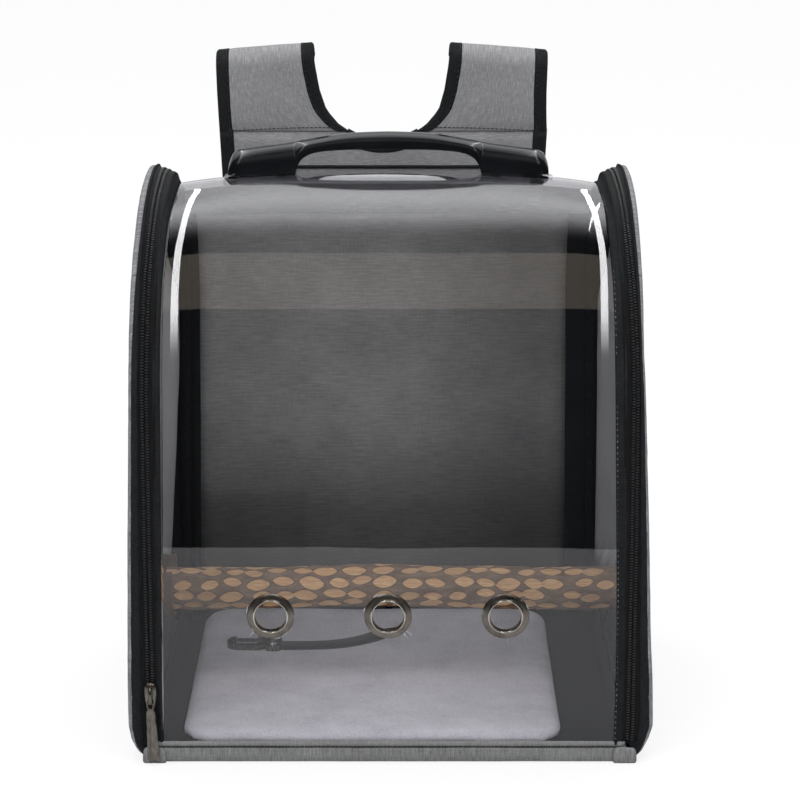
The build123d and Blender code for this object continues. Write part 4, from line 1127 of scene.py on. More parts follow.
def inflate(thing, voxel, pressure, most, seed=0.0):
    def reach():
        places = [v.co for v in thing.data.vertices]
        return [(min(p[i] for p in places), max(p[i] for p in places)) for i in range(3)]

    cut = reach()
    remesh = thing.modifiers.new("evenCloth", "REMESH")
    remesh.mode, remesh.voxel_size = "VOXEL", voxel * mm
    applyAll(thing)
    for vert in thing.data.vertices:
        ripple = noise.noise(vert.co / (filling["rippleSize"] * mm) + Vector((seed, 0, 0)))
        vert.co += Vector((0, 0, filling["ripple"] * mm)) * ripple
    start = [v.co.copy() for v in thing.data.vertices]
    cloth = thing.modifiers.new("cover", "CLOTH")
    settings = cloth.settings
    settings.quality, settings.mass = 6, filling["mass"]
    settings.tension_stiffness = settings.compression_stiffness = filling["tension"]
    settings.shear_stiffness, settings.bending_stiffness = filling["shear"], filling["bending"]
    settings.use_pressure, settings.uniform_pressure_force = True, pressure
    settings.effector_weights.gravity = 0.0
    cloth.collision_settings.use_collision = False
    cloth.point_cache.frame_start, cloth.point_cache.frame_end = 1, filling["frames"]
    for number in range(1, filling["frames"] + 1):
        bpy.context.scene.frame_set(number)
    applyAll(thing)
    bpy.context.scene.frame_set(1)
    for vert, was in zip(thing.data.vertices, start):
        move = vert.co - was
        if move.length > most * mm:
            vert.co = was + move.normalized() * most * mm
    layer = thing.data.uv_layers.new(name="thread")
    for loop in thing.data.loops:
        spot = thing.data.vertices[loop.vertex_index].co
        layer.data[loop.index].uv = (spot.x, spot.z + spot.y * 0.3)
    finer = thing.modifiers.new("finer", "SUBSURF")
    finer.levels = finer.render_levels = 1
    applyAll(thing)
    # the smoothing drew its outline in: back to the size it was cut
    spans = [(low, high, was, wide) for (low, high), (was, wide) in zip(cut, reach())]
    for vert in thing.data.vertices:
        vert.co = [low + (place - was) * (high - low) / (wide - was)
                   for place, (low, high, was, wide) in zip(vert.co, spans)]
    thing.data.shade_smooth()


backing = {
    "lining": (-143.6, 133.6),  # mm across
    "outer": (-138.6, 138.6),
    # how much of the lining's colour the painted shade keeps at heights over the floor
    "kept": [(50, 0.28), (97, 0.43), (133, 0.68), (160, 0.84), (185, 0.92), (239, 0.86), (270, 0.94), (310, 1.0)],
    # the folded strip over the joint of sheet and panel, as mm past the seam and out
    "strip": [(-6.5, -2.0), (-6.5, 0.3), (-5.4, 0.9), (0.5, 1.0), (5.2, 0.8), (5.6, 0.3), (5.4, -3.4), (0.0, -3.2),
              (-12, -2.6), (-25, -2.5), (-40, -2.5), (-52, -2.6), (-52.6, -2.0), (-52, -1.5), (-40, -1.4),
              (-25, -1.4), (-12, -1.4)],
    "stripSeams": [("m4_0", -4.2, 1.0), ("4_0", 3.6, 1.0), ("m4_1", -4.4, -4.1)],
    "padSwell": 1.6,
    "channels": (-36.0, 36.0),  # where the pad is sewn down, how deep and how wide
    "channelDeep": 3.6,
    "channelWide": 4.5,
    "padInsets": [0, 0.5, 1.2, 2.4, 4, 6.5, 9.5, 13, 18, 24, 31, 39, 48, 58, 69],
}
wallUv = [(0, 0), (0, 1), (1, 1), (1, 0)]


def buildBackSkin(name, material, levels, slack, seed, spread, *replaced):
    # one sheet of the back panel; levels are its far and near faces, in mm out of the arch
    rows, columns = evenly(archLength - clear["foot"], seamRun, 6.0), evenly(*spread, 6.0)
    verts = []
    for level in levels:
        for run in rows:
            y, z = archAt(run)[:2]
            for x in columns:
                reach = min(x - spread[0], spread[1] - x)
                edge = smoothStep(0, 12, reach) * smoothStep(16, 40, z)
                out = level + slack * edge * lumps((x, 0.6 * z, y), 70.0, seed)
                out += 0.4 * lumps((x * 0.5, z, y), 22.0, seed + 3) * edge
                if level == levels[1] < levels[0]:
                    out -= 2.2 * smoothStep(0, 7, reach) * smoothStep(22, 10, reach) + 1.2 * edge
                verts.append(overShell(x, run, out))
    faces, walls = slabFaces(len(columns), len(rows))
    uvs = flatUvs([(x, run) for run in rows for x in columns] * 2, faces, 0, 1) + [wallUv] * len(walls)
    panel = tidy(makeObject(name, verts, faces + walls, material, uvs))
    # painted shade: darker towards the floor and towards the right, and a patch low at the left darker still
    values = []
    for vert in panel.data.vertices:
        x, z = vert.co.x / mm, vert.co.z / mm
        kept = between(backing["kept"], z)[0] * (1 - 0.4 * smoothStep(-20, 120, x))
        kept *= 1 - 0.15 * smoothStep(-62, -68, x) * smoothStep(118, 106, z)
        values.append(min(1.0, (1 - kept) * 1.06))
    pointValues(panel, "shade", values)
    finishPiece(panel, "carrier", "gray_cloth", *replaced)


def buildBackPanel():
    buildBackSkin("back_panel_lining", liningCloth, (-1.7, -3.0), 0.9, 2.0, backing["lining"])
    buildBackSkin("back_panel_outer", greyCloth, (-1.5, 0.1), 0.0, 5.0, backing["outer"], "back_panel")

    def stripPoint(along, out, x):
        out += 0.12 * lumps((x, along, out), 9.0, 6.0)
        if along < -7:
            out -= clearDrop(abs(x), seamRun + along)
        return overShell(x, seamRun + along, out)

    sweep("rear_joint_strip", greyCloth, backing["strip"], evenly(-149.5, 149.5, 5.0), stripPoint,
          "carrier", "gray_cloth", "rear_binding")
    for number, along, out in backing["stripSeams"]:
        points = [overShell(x, seamRun + along, out) for x in evenly(-148, 148, 8.0)]
        stitchRow("rear_joint_seam_" + number, greyThread, points, (0, *archAt(seamRun + along)[2:]), "joint",
                  "carrier", "gray_cloth")


def buildBackPad():
    # quilted cushion on the wearer's side: black spacer mesh over foam, sewn down along channels
    def front(x, y, inset):
        rise = backing["padSwell"] + 7.4 * smoothStep(0, 14, inset) ** 0.5 if inset else 2.2
        for line in backing["channels"]:
            groove = exp(-(((x - line) / backing["channelWide"]) ** 2))
            rise -= backing["channelDeep"] * groove * smoothStep(2, 12, inset)
        return 128.2 + rise

    pad = pillow("back_cushion", blackCloth, (0, 138), (216, 166), 26, backing["padInsets"],
                 front, lambda x, y, inset: 128.3)
    for vert in pad.data.vertices:
        vert.co = vert.co.xzy
    inflate(tidy(pad), 4.2, 4.0, 1.4, 3.0)
    finishPiece(pad, "carrier", "black_cloth", "back_pad")


buildBackPanel()
buildBackPad()
print("back")

straps = {
    "binding": 9.6,
    # height, outer edge, inner edge on the front leg
    "left": [(386, -124.6, -26.0), (388, -124.7, -28.2), (390, -124.8, -32.0), (394, -125.0, -37.5),
             (404, -125.5, -45.9), (419, -126.0, -50.9), (438, -126.4, -54.3), (455, -126.6, -55.6)],
    "right": [(386, 116.2, 16.5), (388, 116.1, 18.7), (390, 116.0, 23.0), (394, 115.8, 28.0),
              (404, 115.5, 36.3), (419, 115.4, 40.5), (438, 115.8, 43.5), (455, 116.4, 44.6)],
    "foldZ": 440.0,
    "foldY": 140.5,
    "foldRadius": 9.5,
    "slump": 5.5,  # the outer edge of each fold hangs lower
    "foot": 150.0,
    # height, half width on the leg behind
    "leg": [(150, 16.0), (158, 19.5), (168, 24.5), (182, 27.0), (300, 30.5), (440, 35.4)],
    "legX": {"left": -92.5, "right": 82.5},
}


def strapStations(sideName):
    # along a strap: y, z, the way out of its face, outer and inner edge
    rows, table = [], straps[sideName]
    foldY, foldZ, radius = straps["foldY"], straps["foldZ"], straps["foldRadius"]
    for z in [388.6, 389.4, 391.0, 394.0] + evenly(397.0, foldZ, 4.3):
        rows.append((foldY - radius, z, -1.0, 0.0, *between(table, z)))
    for i in range(1, 16):
        a = pi * i / 16
        z = foldZ + radius * sin(a)
        rows.append((foldY - radius * cos(a), z, -cos(a), sin(a), *between(table, z)))
    outer, inner = between(table, foldZ)
    top, sign = (outer + inner) / 2, 1 if inner > outer else -1
    for z in evenly(foldZ, straps["foot"], 6.0):
        share = (foldZ - z) / (foldZ - straps["foot"])
        middle = top + (straps["legX"][sideName] - top) * share
        half = sign * between(straps["leg"], z)[0]
        rows.append((foldY + radius - 0.8 * sin(pi * share), z, 1.0, 0.0, middle - half, middle + half))
    return rows


def strapPoint(row, across, height):
    # across is mm from the outer edge towards the inner one
    y, z, outY, outZ, outer, inner = row
    sign = 1 if inner > outer else -1
    slump = straps["slump"] * (1 - across / abs(inner - outer)) * smoothStep(400, 446, z)
    return (outer + sign * across, y + outY * height, z + outZ * height - slump)


def strapSkin(name, material, rows, spans, half, *finish):
    # spans: places across each row, half: half thickness at (across, width, along)
    verts, along = [], lengths(rows)
    for row, run in zip(rows, along):
        wide = abs(row[5] - row[4])
        verts += [strapPoint(row, across, half(across, wide, run)) for across in spans(wide)]
        verts += [strapPoint(row, across, -half(across, wide, run + 500)) for across in reversed(spans(wide))]
    usual = spans(60.0)
    return tube(name, material, verts, along, usual + [130 - p for p in reversed(usual)] + [131], *finish)


def buildStrap(sideName):
    rows, width = strapStations(sideName), straps["binding"]

    def bodyHalf(across, wide, along):
        middle = 1 - abs(2 * across / wide - 1) ** 4
        crease = 0.35 * lumps((across, along, 0), 26.0, 1.0) + 0.18 * lumps((across * 0.4, along, 5), 8.0, 2.0)
        return (1.9 + 1.3 * middle + crease * middle) * (0.72 + 0.28 * smoothStep(0, 6, along % 500))

    body = strapSkin("strap_body_" + sideName, strapCloth, rows,
                     lambda wide: [2.0 + (wide - 4.0) * i / 13 for i in range(14)], bodyHalf,
                     "carrier", "gray_cloth", "shoulder_strap_" + sideName)
    for edge in ("outer", "inner"):
        def fromEdge(across, wide, edge=edge):
            return across if edge == "outer" else wide - across

        def spans(wide):
            own = [0.0, 0.5, 1.6, 4.0, width - 1.2, width - 0.3, width]
            return own if edge == "outer" else [wide - p for p in reversed(own)]

        def half(across, wide, along):
            inset = fromEdge(across, wide)
            rise = {0.0: 0.9, 0.5: 2.0}.get(round(inset, 3), 2.95)
            if inset > width - 0.5:
                rise = 2.55 if inset > width - 0.1 else 3.0
            return rise + 0.14 * lumps((across, along, 9), 7.0, 4.0)

        strapSkin(f"strap_binding_{sideName}_{edge}", blackCloth, rows, spans, half, "carrier", "black_cloth")
        for face, faceName in ((1, "front"), (-1, "rear")):
            points = [strapPoint(row, fromEdge(width - 1.7, abs(row[5] - row[4])), face * 3.15) for row in rows]
            ups = [(0, face * row[2], face * row[3]) for row in rows]
            stitchRow(f"strap_seam_{sideName}_{edge}_{faceName}", blackThread, points, ups, "strap",
                      "carrier", "black_cloth")


yoke = {
    "y": 130.9,
    "foot": 229.0,
    "top": 390.0,
    "narrow": 0.06,  # how much narrower it is at its foot
    "notch": {"middle": -4.7, "half": 23.4, "low": 381.5, "rise": 6.5},  # a bowl between the straps
    "tape": [(0, 360.9), (-0.5, 361.1), (-0.9, 362.1), (-0.5, 363.1), (0, 363.4), (0.6, 362.1)],
    "seams": [("left", -114.0, -40.0), ("right", 106.0, 30.0)],
}


def squeezed(x, share):
    return (x + 4) * (1 - yoke["narrow"] * (1 - share)) - 4


def edgeTape(name, path, inwards):
    # black tape folded over an edge that lies in the plane of the yoke
    width = straps["binding"]
    section = [(-0.7, 0), (-0.4, 1.7), (0.9, 2.7), (width - 1.0, 3.0), (width, 2.5), (width, -2.5),
               (width - 1.0, -3.0), (0.9, -2.7), (-0.4, -1.7)]
    verts = [(x + ix * a, yoke["y"] - h, z + iz * a) for (x, z), (ix, iz) in zip(path, inwards) for a, h in section]
    tube(name, blackCloth, verts, lengths(path), lengths(section + section[:1]), "carrier", "black_cloth")


def buildYoke():
    # the two straps grow out of one padded yoke that is sewn down the back
    foot, notch = yoke["foot"], yoke["notch"]
    places = [-124.0, -122, -118, -112] + evenly(-104, 96, 8.0) + [103, 109, 113, 115.4]
    rows = evenly(0.0, 1.0, 0.06)
    verts = []
    for face in (-1, 1):
        for share in rows:
            for x in places:
                top, t = yoke["top"], (x - notch["middle"]) / notch["half"]
                if abs(t) < 1:
                    top = notch["low"] + notch["rise"] * t * t
                z = foot + (top - foot) * share
                inward = min(x + 125, 116.4 - x, (top - z) + 1, z - foot + 1)
                plump = min(1.0, sqrt(max(0.0, inward) / 9.0))
                y = yoke["y"] + face * (0.5 + 1.75 * plump) + 0.3 * lumps((x, z, 0), 30.0, face)
                verts.append((squeezed(x, share), y, z))
    faces, walls = slabFaces(len(places), len(rows))
    body = makeObject("yoke_body", verts, faces + walls, strapCloth,
                      flatUvs(verts, faces, 2, 0) + [wallUv] * len(walls))
    tidy(body)
    finishPiece(body, "carrier", "gray_cloth", "strap_yoke")
    for name, x, inward in (("yoke_binding_left", -124.1, 1), ("yoke_binding_right", 115.5, -1)):
        path = [(squeezed(x, (z - foot) / 159), z) for z in evenly(foot, yoke["top"], 8.0)]
        edgeTape(name, path, [(inward, 0.0)] * len(path))
    path, inwards = [], []
    for i in range(21):
        x = -30.0 + 50.5 * i / 20
        t = (x - notch["middle"]) / notch["half"]
        path.append((x, notch["low"] + 0.5 + notch["rise"] * t * t))
        slope = 2 * notch["rise"] * t / notch["half"]
        inwards.append((slope / hypot(1, slope), -1 / hypot(1, slope)))
    edgeTape("yoke_binding_notch", path, inwards)
    # a black strip laid level across the yoke, just over the sheet, darkening the line where they meet
    sweep("yoke_dark_strip", blackCloth, yoke["tape"], evenly(-97, 89, 6.0),
          lambda y, z, x: (x, 127.9 + y, z + 0.15 * lumps((x, z, 0), 20, 3)), "carrier", "black_cloth")
    for sideName, start, end in yoke["seams"]:
        for face, y, up in (("front", 127.6, -1), ("rear", 134.2, 1)):
            shares = [i / 12 for i in range(13)]
            points = [(start + (end - start) * t, y, 389.2 + 2.4 * sin(pi * 0.5 * t)) for t in shares]
            stitchRow(f"yoke_seam_{sideName}_{face}", blackThread, points, (0, up, 0), "yoke",
                      "carrier", "black_cloth")


webbing = {
    "wide": 24.6,
    # name, thickness, line of (y, z)
    "runs": [
        ("run", 1.5, [(145.2, 30), (145.4, 44), (148.0, 90), (150.6, 128), (152.2, 133), (150.8, 139.6),
                      (147.9, 134), (146.6, 128)]),
        ("tail", 1.5, [(151.9, 141), (154.2, 138.6), (154.6, 128), (154.0, 100), (155.2, 77)]),
        ("head", 1.4, [(153.9, 176), (153.8, 158), (152.8, 149.4), (150.6, 144.6), (148.0, 149.4), (146.6, 158),
                       (146.2, 170)])],
    # the triangles that hold it: an oval, (y, z) at foot and top, half width and thickness there
    "tab": [(-1, 0.0), (-0.9, 0.5), (0, 1.0), (0.9, 0.5), (1, 0.0), (0.9, -0.5), (0, -1.0), (-0.9, -0.5)],
}


def curve(points, steps=6):
    # a smooth line through a few points
    out = []
    for i in range(len(points) - 1):
        near = (points[max(0, i - 1)], points[i], points[i + 1], points[min(len(points) - 1, i + 2)])
        for t in (k / steps for k in range(steps)):
            out.append(tuple(0.5 * (2 * b + (c - a) * t + (2 * a - 5 * b + 4 * c - d) * t * t
                                    + (3 * b - a - 3 * c + d) * t ** 3) for a, b, c, d in zip(*near)))
    return out + [points[-1]]


def flatWebbing(name, x, path, thick, *replaced):
    # a woven band along (y, z) points, flat across x
    half, lip = webbing["wide"] / 2, webbing["wide"] / 2 - 0.5
    section = [(-half, 0), (-lip, thick / 2), (0, thick / 2 + 0.1), (lip, thick / 2), (half, 0),
               (lip, -thick / 2), (0, -thick / 2 - 0.1), (-lip, -thick / 2)]
    verts = []
    for i, (y, z) in enumerate(path):
        a, b = path[max(0, i - 1)], path[min(len(path) - 1, i + 1)]
        length = hypot(b[0] - a[0], b[1] - a[1])
        outY, outZ = (b[1] - a[1]) / length, -(b[0] - a[0]) / length
        verts += [(x + across, y + outY * h, z + outZ * h) for across, h in section]
    tube(name, webbingCloth, verts, lengths(path), lengths(section + section[:1]), "carrier", "webbing", *replaced)


def buildAnchor(sideName, x):
    # a triangle of doubled cloth sewn into the foot seam, holding the webbing
    rows = evenly(0.0, 1.0, 0.1)
    verts = []
    for share in rows:
        y, z, wide, thick = 129.4 + 16.0 * share, 24.0 + 17.0 * share, 15.4 - share, 3.0 - share
        verts += [(x + a * wide, y - h * thick * 0.7, z + h * thick * 0.7) for a, h in webbing["tab"]]
    return tube("anchor_tab_" + sideName, greyCloth, verts, [share * 30 for share in rows],
                [i * 6.0 for i in range(9)], "carrier", "gray_cloth")


for sideName, side in bothSides:
    buildStrap(sideName)
buildYoke()
for sideName, x in straps["legX"].items():
    for name, thick, line in webbing["runs"]:
        replaced = ["strap_webbing_" + sideName] if name == "run" else []
        flatWebbing(f"webbing_{name}_{sideName}", x, curve(line), thick, *replaced)
for sideName, x in straps["legX"].items():
    tab = buildAnchor(sideName, x)
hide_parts("webbing_anchors")
print("straps")

handle = {
    # mm from its middle, height of its top and of the hollow under its grip
    "tops": [(0, 407.0), (20, 406.4), (34, 405.2), (50, 402.4), (72, 398.6), (95, 395.6), (104, 394.2),
             (107.5, 392.4), (109.6, 388.5), (111, 384.0)],
    "hollow": [(0, 396.2), (30, 396.0), (46, 394.8), (54, 393.2), (59, 390.6), (62, 387.0), (64, 381.0)],
    "grip": 64.1,
    "steps": [0, 8, 16, 24, 32, 39, 45, 50, 54, 57, 59.5, 61.5, 63, 64.0, 64.2, 66, 69, 74, 80, 86, 92, 97, 101, 104,
              106, 107.5, 108.8, 109.8, 110.5, 111],
    "middle": 22.0,
    "halfDeep": 13.8,
    # round section: flat front with a sloped upper edge, as shares of its depth and height
    "crown": [(-1, 0.0), (-1, 0.25), (-1, 0.5), (-0.985, 0.56), (-0.9, 0.7), (-0.84, 0.76), (-0.62, 0.88),
              (-0.35, 0.965), (0, 1.0)],
    "under": (0.93, 0.8, 0.5, 0.2, -0.05, -0.3, -0.55, -0.8, -0.93),
    "film": {"points": 9, "from": 106.0, "wide": 7.5, "front": 3.5, "deep": 36.0, "thick": 0.25},
}


def buildHandle():
    # moulded in one piece and screwed through the sheet
    places = sorted({-s for s in handle["steps"]} | set(handle["steps"]))
    crown = handle["crown"]
    loop = crown + [(-a, b) for a, b in reversed(crown[:-1])] + [(a, 0.0) for a in handle["under"]]
    verts = []
    for x in places:
        reach = abs(x)
        top = between(handle["tops"], reach)[0]
        low = between(handle["hollow"], reach)[0] if reach < handle["grip"] else 0.0
        deep = handle["halfDeep"] - 2.6 * smoothStep(66, 46, reach) - 1.2 * smoothStep(104, 111, reach)
        for a, b in loop:
            y = handle["middle"] + a * deep
            bottom = max(low, onArchTop(x, y) - 0.2)
            verts.append((x, y, bottom + (top - bottom) * b))
    thing = tidy(makeObject("handle_moulding", verts, tubeFaces(len(places), len(loop)), polishedAbs))
    soft = thing.modifiers.new("softEdges", "SUBSURF")
    soft.levels = soft.render_levels = 1
    applyAll(thing).data.shade_smooth()
    finishPiece(thing, "carrier", "gloss_black", "carry_handle")


def buildHandleFilm(sideName, side):
    # the clear film that was left round the handle's ends, crumpled
    film = handle["film"]
    last = film["points"] - 1
    verts = []
    for i in range(last + 1):
        for j in range(last + 1):
            x, y = side * (film["from"] + film["wide"] * i / last), film["front"] + film["deep"] * j / last
            z = onArchTop(x, y) + 0.3 + 2.2 * abs(lumps((x * 1.4, y, 0), 5.0, side))
            verts.append((x, y, z + 2.6 * (1 - i / last) * (0.5 + 0.5 * lumps((y, 0, x), 7, 2))))
    verts += [(x, y, z - film["thick"]) for x, y, z in verts]
    faces, walls = slabFaces(last + 1, last + 1)
    thing = makeObject("handle_film_" + sideName, verts, faces + walls, filmScrap)
    finishPiece(tidy(thing), "carrier", "clear_sheet")


buildHandle()
for sideName, side in bothSides:
    buildHandleFilm(sideName, side)
print("handle")

perch = {
    "radius": 15.2,
    "axisZ": 80.0,
    "from": -159.5,
    "to": 165.3,
    "around": 120,  # points round it
    "cutRows": 10,
    "long": (6.6, 9.4),  # half lengths of the cuts
    "wide": (0.42, 0.56),  # and half widths, as a share of those
    "deep": (0.9, 1.5),
    "skew": 0.16,
    "gap": (4, 10),
    "fresh": (0.5, 0.7, 1.0, 1.0),  # how pale the wood of a cut is
}


def cutPerch():
    # where the knife went: x, turn, half length, half width, depth, skew, freshness
    dice, cuts, rows = Random(11), [], perch["cutRows"]
    for k in range(rows):
        x = perch["from"] + dice.uniform(2, 16)
        while x < perch["to"] - 2:
            long = dice.uniform(*perch["long"])
            wide = long * dice.uniform(*perch["wide"])
            a = 2 * pi * k / rows + dice.uniform(-perch["skew"], perch["skew"])
            # a cut that would run into another one is moved along
            if any(abs(x - c[0]) < 0.8 * (long + c[2])
                   and abs((a - c[1] + pi) % (2 * pi) - pi) * perch["radius"] < 0.92 * (wide + c[3]) for c in cuts):
                x += 2.5
                continue
            cuts.append((x, a, long, wide, dice.uniform(*perch["deep"]), dice.uniform(-perch["skew"], perch["skew"]),
                         dice.choice(perch["fresh"])))
            x += long * 1.25 + dice.uniform(*perch["gap"])
    return cuts


def buildPerch():
    # a branch with knife cuts all over
    cuts, places, around = cutPerch(), evenly(perch["from"], perch["to"], 1.1), perch["around"]
    verts, cutShare = [], []
    for x in places:
        near = [c for c in cuts if abs(c[0] - x) < 12]
        bendY, bendZ = 1.0 * sin(x / 61.0 + 0.4), 0.9 * sin(x / 47.0 + 2.0)
        for j in range(around):
            a = 2 * pi * j / around
            base = perch["radius"] + 1.5 * lumps((x * 0.5, 14 * cos(a), 14 * sin(a)), 24.0, 2.0)
            base += 0.35 * lumps((x, 15 * cos(a), 15 * sin(a)), 5.0, 7.0)
            radius, palest = base, 0.0
            for cx, ca, long, wide, depth, skew, fresh in near:
                turn = (a - ca + pi) % (2 * pi) - pi
                across = turn * base + skew * (x - cx)
                inside = 1 - ((x - cx) / long) ** 2 - abs(across / wide) ** 1.35
                if abs(turn) <= 0.75 and inside > -0.25:
                    radius = min(radius, base - depth * max(0.0, inside) ** 0.6)
                    palest = max(palest, min(fresh, 0.3 + inside * 1.5))
            verts.append((x, bendY + radius * cos(a), perch["axisZ"] + bendZ + radius * sin(a)))
            cutShare.append(palest)
    thing = tidy(makeObject("perch_branch", verts, tubeFaces(len(places), around), branchBark))
    pointValues(thing, "cut", cutShare)
    finishPiece(thing, "door_right", "bare_wood", "perch")


buildPerch()
print("perch")

floorLook = {
    "matLow": 8.1,
    "matInsets": [0, 0.6, 1.6, 3, 5, 8, 12, 17, 24, 32, 41, 51, 62, 74, 86, 98, 110],
    "boardInsets": [0, 0.8, 2, 4, 10, 20, 35, 55, 80, 110],
    "halfX": 161.3,
    "halfY": 128.2,
    "corner": 5.0,
    # sections as mm out of the wall and height: the tray, its lining, the cloth hinge under each side panel
    "tray": [(-20.0, 0.6), (-2.2, 0.25), (-0.6, 0.7), (0.3, 2.0), (0.75, 5.5), (0.8, 9.8), (0.4, 11.2), (-1.0, 11.7),
             (0.6, 12.3), (0.9, 13.8), (0.65, 15.2), (-0.3, 15.75), (-1.15, 15.2), (-1.3, 12.5), (-2.6, 11.0),
             (-3.4, 8.0), (-4.6, 5.2), (-20.0, 4.9)],
    "lining": [(1.4, 15.4), (1.2, 16.3), (-0.4, 16.6), (-1.5, 15.9), (-2.0, 12.6), (-3.3, 10.9), (-4.4, 8.6),
               (-6.0, 8.0), (-6.0, 5.4), (-4.2, 5.6), (-2.6, 8.2), (-1.2, 12.0), (-0.8, 15.2)],
    "hinge": [(158.5, 0.3), (158.5, 1.2), (161, 1.6), (163, 2.2), (165, 3.6), (165.8, 3.4), (164.2, 1.2),
              (162, 0.4)],
    # name, thread, reach, share of the wall's y, height, its wave, stitch, slot
    "seams": [("tray_seam_", greyThread, 150, 1.0, 10.2, 0.4, "tray", "gray_cloth"),
              ("tray_piping_", blackThread, 156, 0.9975, 11.75, 0.3, "piping", "black_cloth")],
    # a corner tab: height, half width and how far out, then its section
    "tabRows": [(0.2, 11.5, 0.2), (1.5, 12.6, 0.8), (5, 12.6, 1.0), (8.5, 12.0, 1.0), (10.8, 11.0, 0.8),
                (11.6, 9.6, 0.2)],
    "tab": [(-1, 0), (-0.9, 0.7), (-0.2, 1.0), (0.1, 0.55), (0.3, 1.0), (0.9, 0.7), (1, 0), (0, -0.9)],
    # the tether's patch: height, y and thickness, then its section
    "patchRows": [(16.5, 122.4, 2.4), (19, 121.0, 3.0), (26, 122.4, 2.2), (34, 123.6, 1.5), (41, 124.4, 1.0),
                  (42, 124.6, 0.5)],
    "patch": [(-1, 0), (-0.94, 0.6), (-0.5, 1.0), (0, 1.0), (0.5, 1.0), (0.94, 0.6), (1, 0), (0, -1)],
}


def buildMatAndBoard():
    def roundedEdge(inset, radius):
        return sqrt(max(0.0, 1 - (1 - min(inset, radius) / radius) ** 2))

    def matTop(x, y, inset):
        worn = 0.7 * lumps((x, y, 0), 60.0, 2.0) + 0.35 * lumps((x, y, 4), 20.0, 5.0)
        rise = (6.4 + 4.6 * smoothStep(50, 112, y)) * roundedEdge(inset, 9.0)
        return floorLook["matLow"] + 3.2 + rise + worn * smoothStep(2, 20, inset)

    mat = pillow("floor_mat_pad", plush, (-11, 0.5), (260, 237), 23, floorLook["matInsets"], matTop,
                 lambda x, y, inset: floorLook["matLow"] + 3.0 - 3.0 * roundedEdge(inset, 5.0))
    inflate(mat, 3.4, 4.0, 1.0, 1.0)
    finishPiece(mat, "carrier", "plush", "floor_mat")
    board = pillow("base_board_cover", darkLining, (0, 0), (320, 250), 6, floorLook["boardInsets"],
                   lambda x, y, inset: 7.2 + 0.8 * smoothStep(0, 3, inset) + 0.12 * lumps((x, y, 0), 30.0, 3.0),
                   lambda x, y, inset: 5.1)
    finishPiece(board, "carrier", "dark_lining", "base_board")


def buildTray():
    # bottom, wall and folded top edge in one loop of cloth-covered board
    section = floorLook["tray"]
    loop = roundedLoop(floorLook["halfX"], floorLook["halfY"], floorLook["corner"], -90, 6, 40)
    verts = []
    for x, y, outX, outY in loop:
        for out, z in section:
            out += 0.35 * lumps((x, y, z * 2), 26.0, 8.0) * smoothStep(-3, 0.3, out)
            z += 0.25 * lumps((x, y, 50), 18.0, 2.0) * smoothStep(10, 15, z)
            verts.append((x + outX * out, y + outY * out, max(0.1, z)))
    along, around = lengths(loop + loop[:1]), lengths(section + section[:1])
    uvs = [((low, a), (high, a), (high, b), (low, b))
           for low, high in zip(along, along[1:]) for a, b in zip(around, around[1:])]
    count, size = len(loop), len(section)
    ends = [tuple(range(size * (count - 1), -1, -size)), tuple(range(size - 1, size * count, size))]
    tray = makeObject("tray_cover", verts, ringFaces(count, size) + ends, trayCloth, uvs + [[(0.0, 0.0)] * count] * 2)
    finishPiece(tidy(tray), "carrier", "gray_cloth", "base_tray")
    for y, up, face in ((-129.15, -1, "front"), (129.15, 1, "rear")):
        for name, thread, reach, share, height, wave, kind, slot in floorLook["seams"]:
            points = [(x, y * share, height + wave * lumps((x, 0, 0), 40, 3)) for x in evenly(-reach, reach, 12)]
            stitchRow(name + face, thread, points, (0, up, 0), kind, "carrier", slot)


def buildTrayLining():
    # dark lining that runs up the walls of the tray and over them at the sides and back
    side = [(160.6, y) for y in evenly(120, -120, 12)] + [(160.6, -126.0)]
    bend = [(156, 127.6), (159.4, 126.2)]
    back = [(x, 127.8) for x in evenly(-150, 150, 12)] + bend
    path, section = [(-x, y) for x, y in reversed(bend + side)] + back + side, floorLook["lining"]
    verts = []
    for number, (x, y) in enumerate(path):
        before, after = Vector(path[max(0, number - 1)]), Vector(path[min(len(path) - 1, number + 1)])
        way = (after - before).normalized()
        verts += [(x - way.y * out, y + way.x * out, z + 0.2 * lumps((x, y, z), 20, 4)) for out, z in section]
    tube("tray_lining", darkLining, verts, [i * 12.0 for i in range(len(path))],
         lengths(section + section[:1]), "carrier", "dark_lining")


def buildCornerTab(sx, sy):
    # a folded tab of the tray's cloth under the foot of a zip
    verts = []
    for z, wide, out in floorLook["tabRows"]:
        for a, h in floorLook["tab"]:
            lean = 0.8 * a * lumps((a * 9, z, sx), 5, 2) if z > 9 else 0.0
            verts.append((sx * (159.5 + sx + a * wide * 0.64), sy * (128.9 + out + h * 0.7), z + lean))
    name = f"corner_tab_{'left' if sx < 0 else 'right'}_{'front' if sy < 0 else 'rear'}"
    return tube(name, trayCloth, verts, [0, 3, 8, 13, 16, 18], [i * 2.4 for i in range(9)], "carrier", "gray_cloth")


def buildTetherPatch():
    verts = [(10 + a * 13.5, y - h * thick * 0.8, z)
             for z, y, thick in floorLook["patchRows"] for a, h in floorLook["patch"]]
    tube("tether_patch_cover", blackCloth, verts, [0, 4, 12, 20, 27, 29], [i * 5.0 for i in range(9)],
         "carrier", "black_cloth", "tether_patch")


buildMatAndBoard()
buildTray()
buildTrayLining()
for sx in (-1, 1):
    for sy in (-1, 1):
        tab = buildCornerTab(sx, sy)
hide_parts("corner_tabs")
for sideName, side in bothSides:
    sweep("foot_hinge_" + sideName, blackCloth, floorLook["hinge"], evenly(-116, 116, 8.0),
          lambda x, z, y: (side * (x + 0.2 * lumps((y, z, 0), 14, side)), y, z),
          "carrier", "black_cloth", "hinge_strip_" + sideName)
buildTetherPatch()
tether.data.materials.append(webbingCloth)
print("floor and tether")

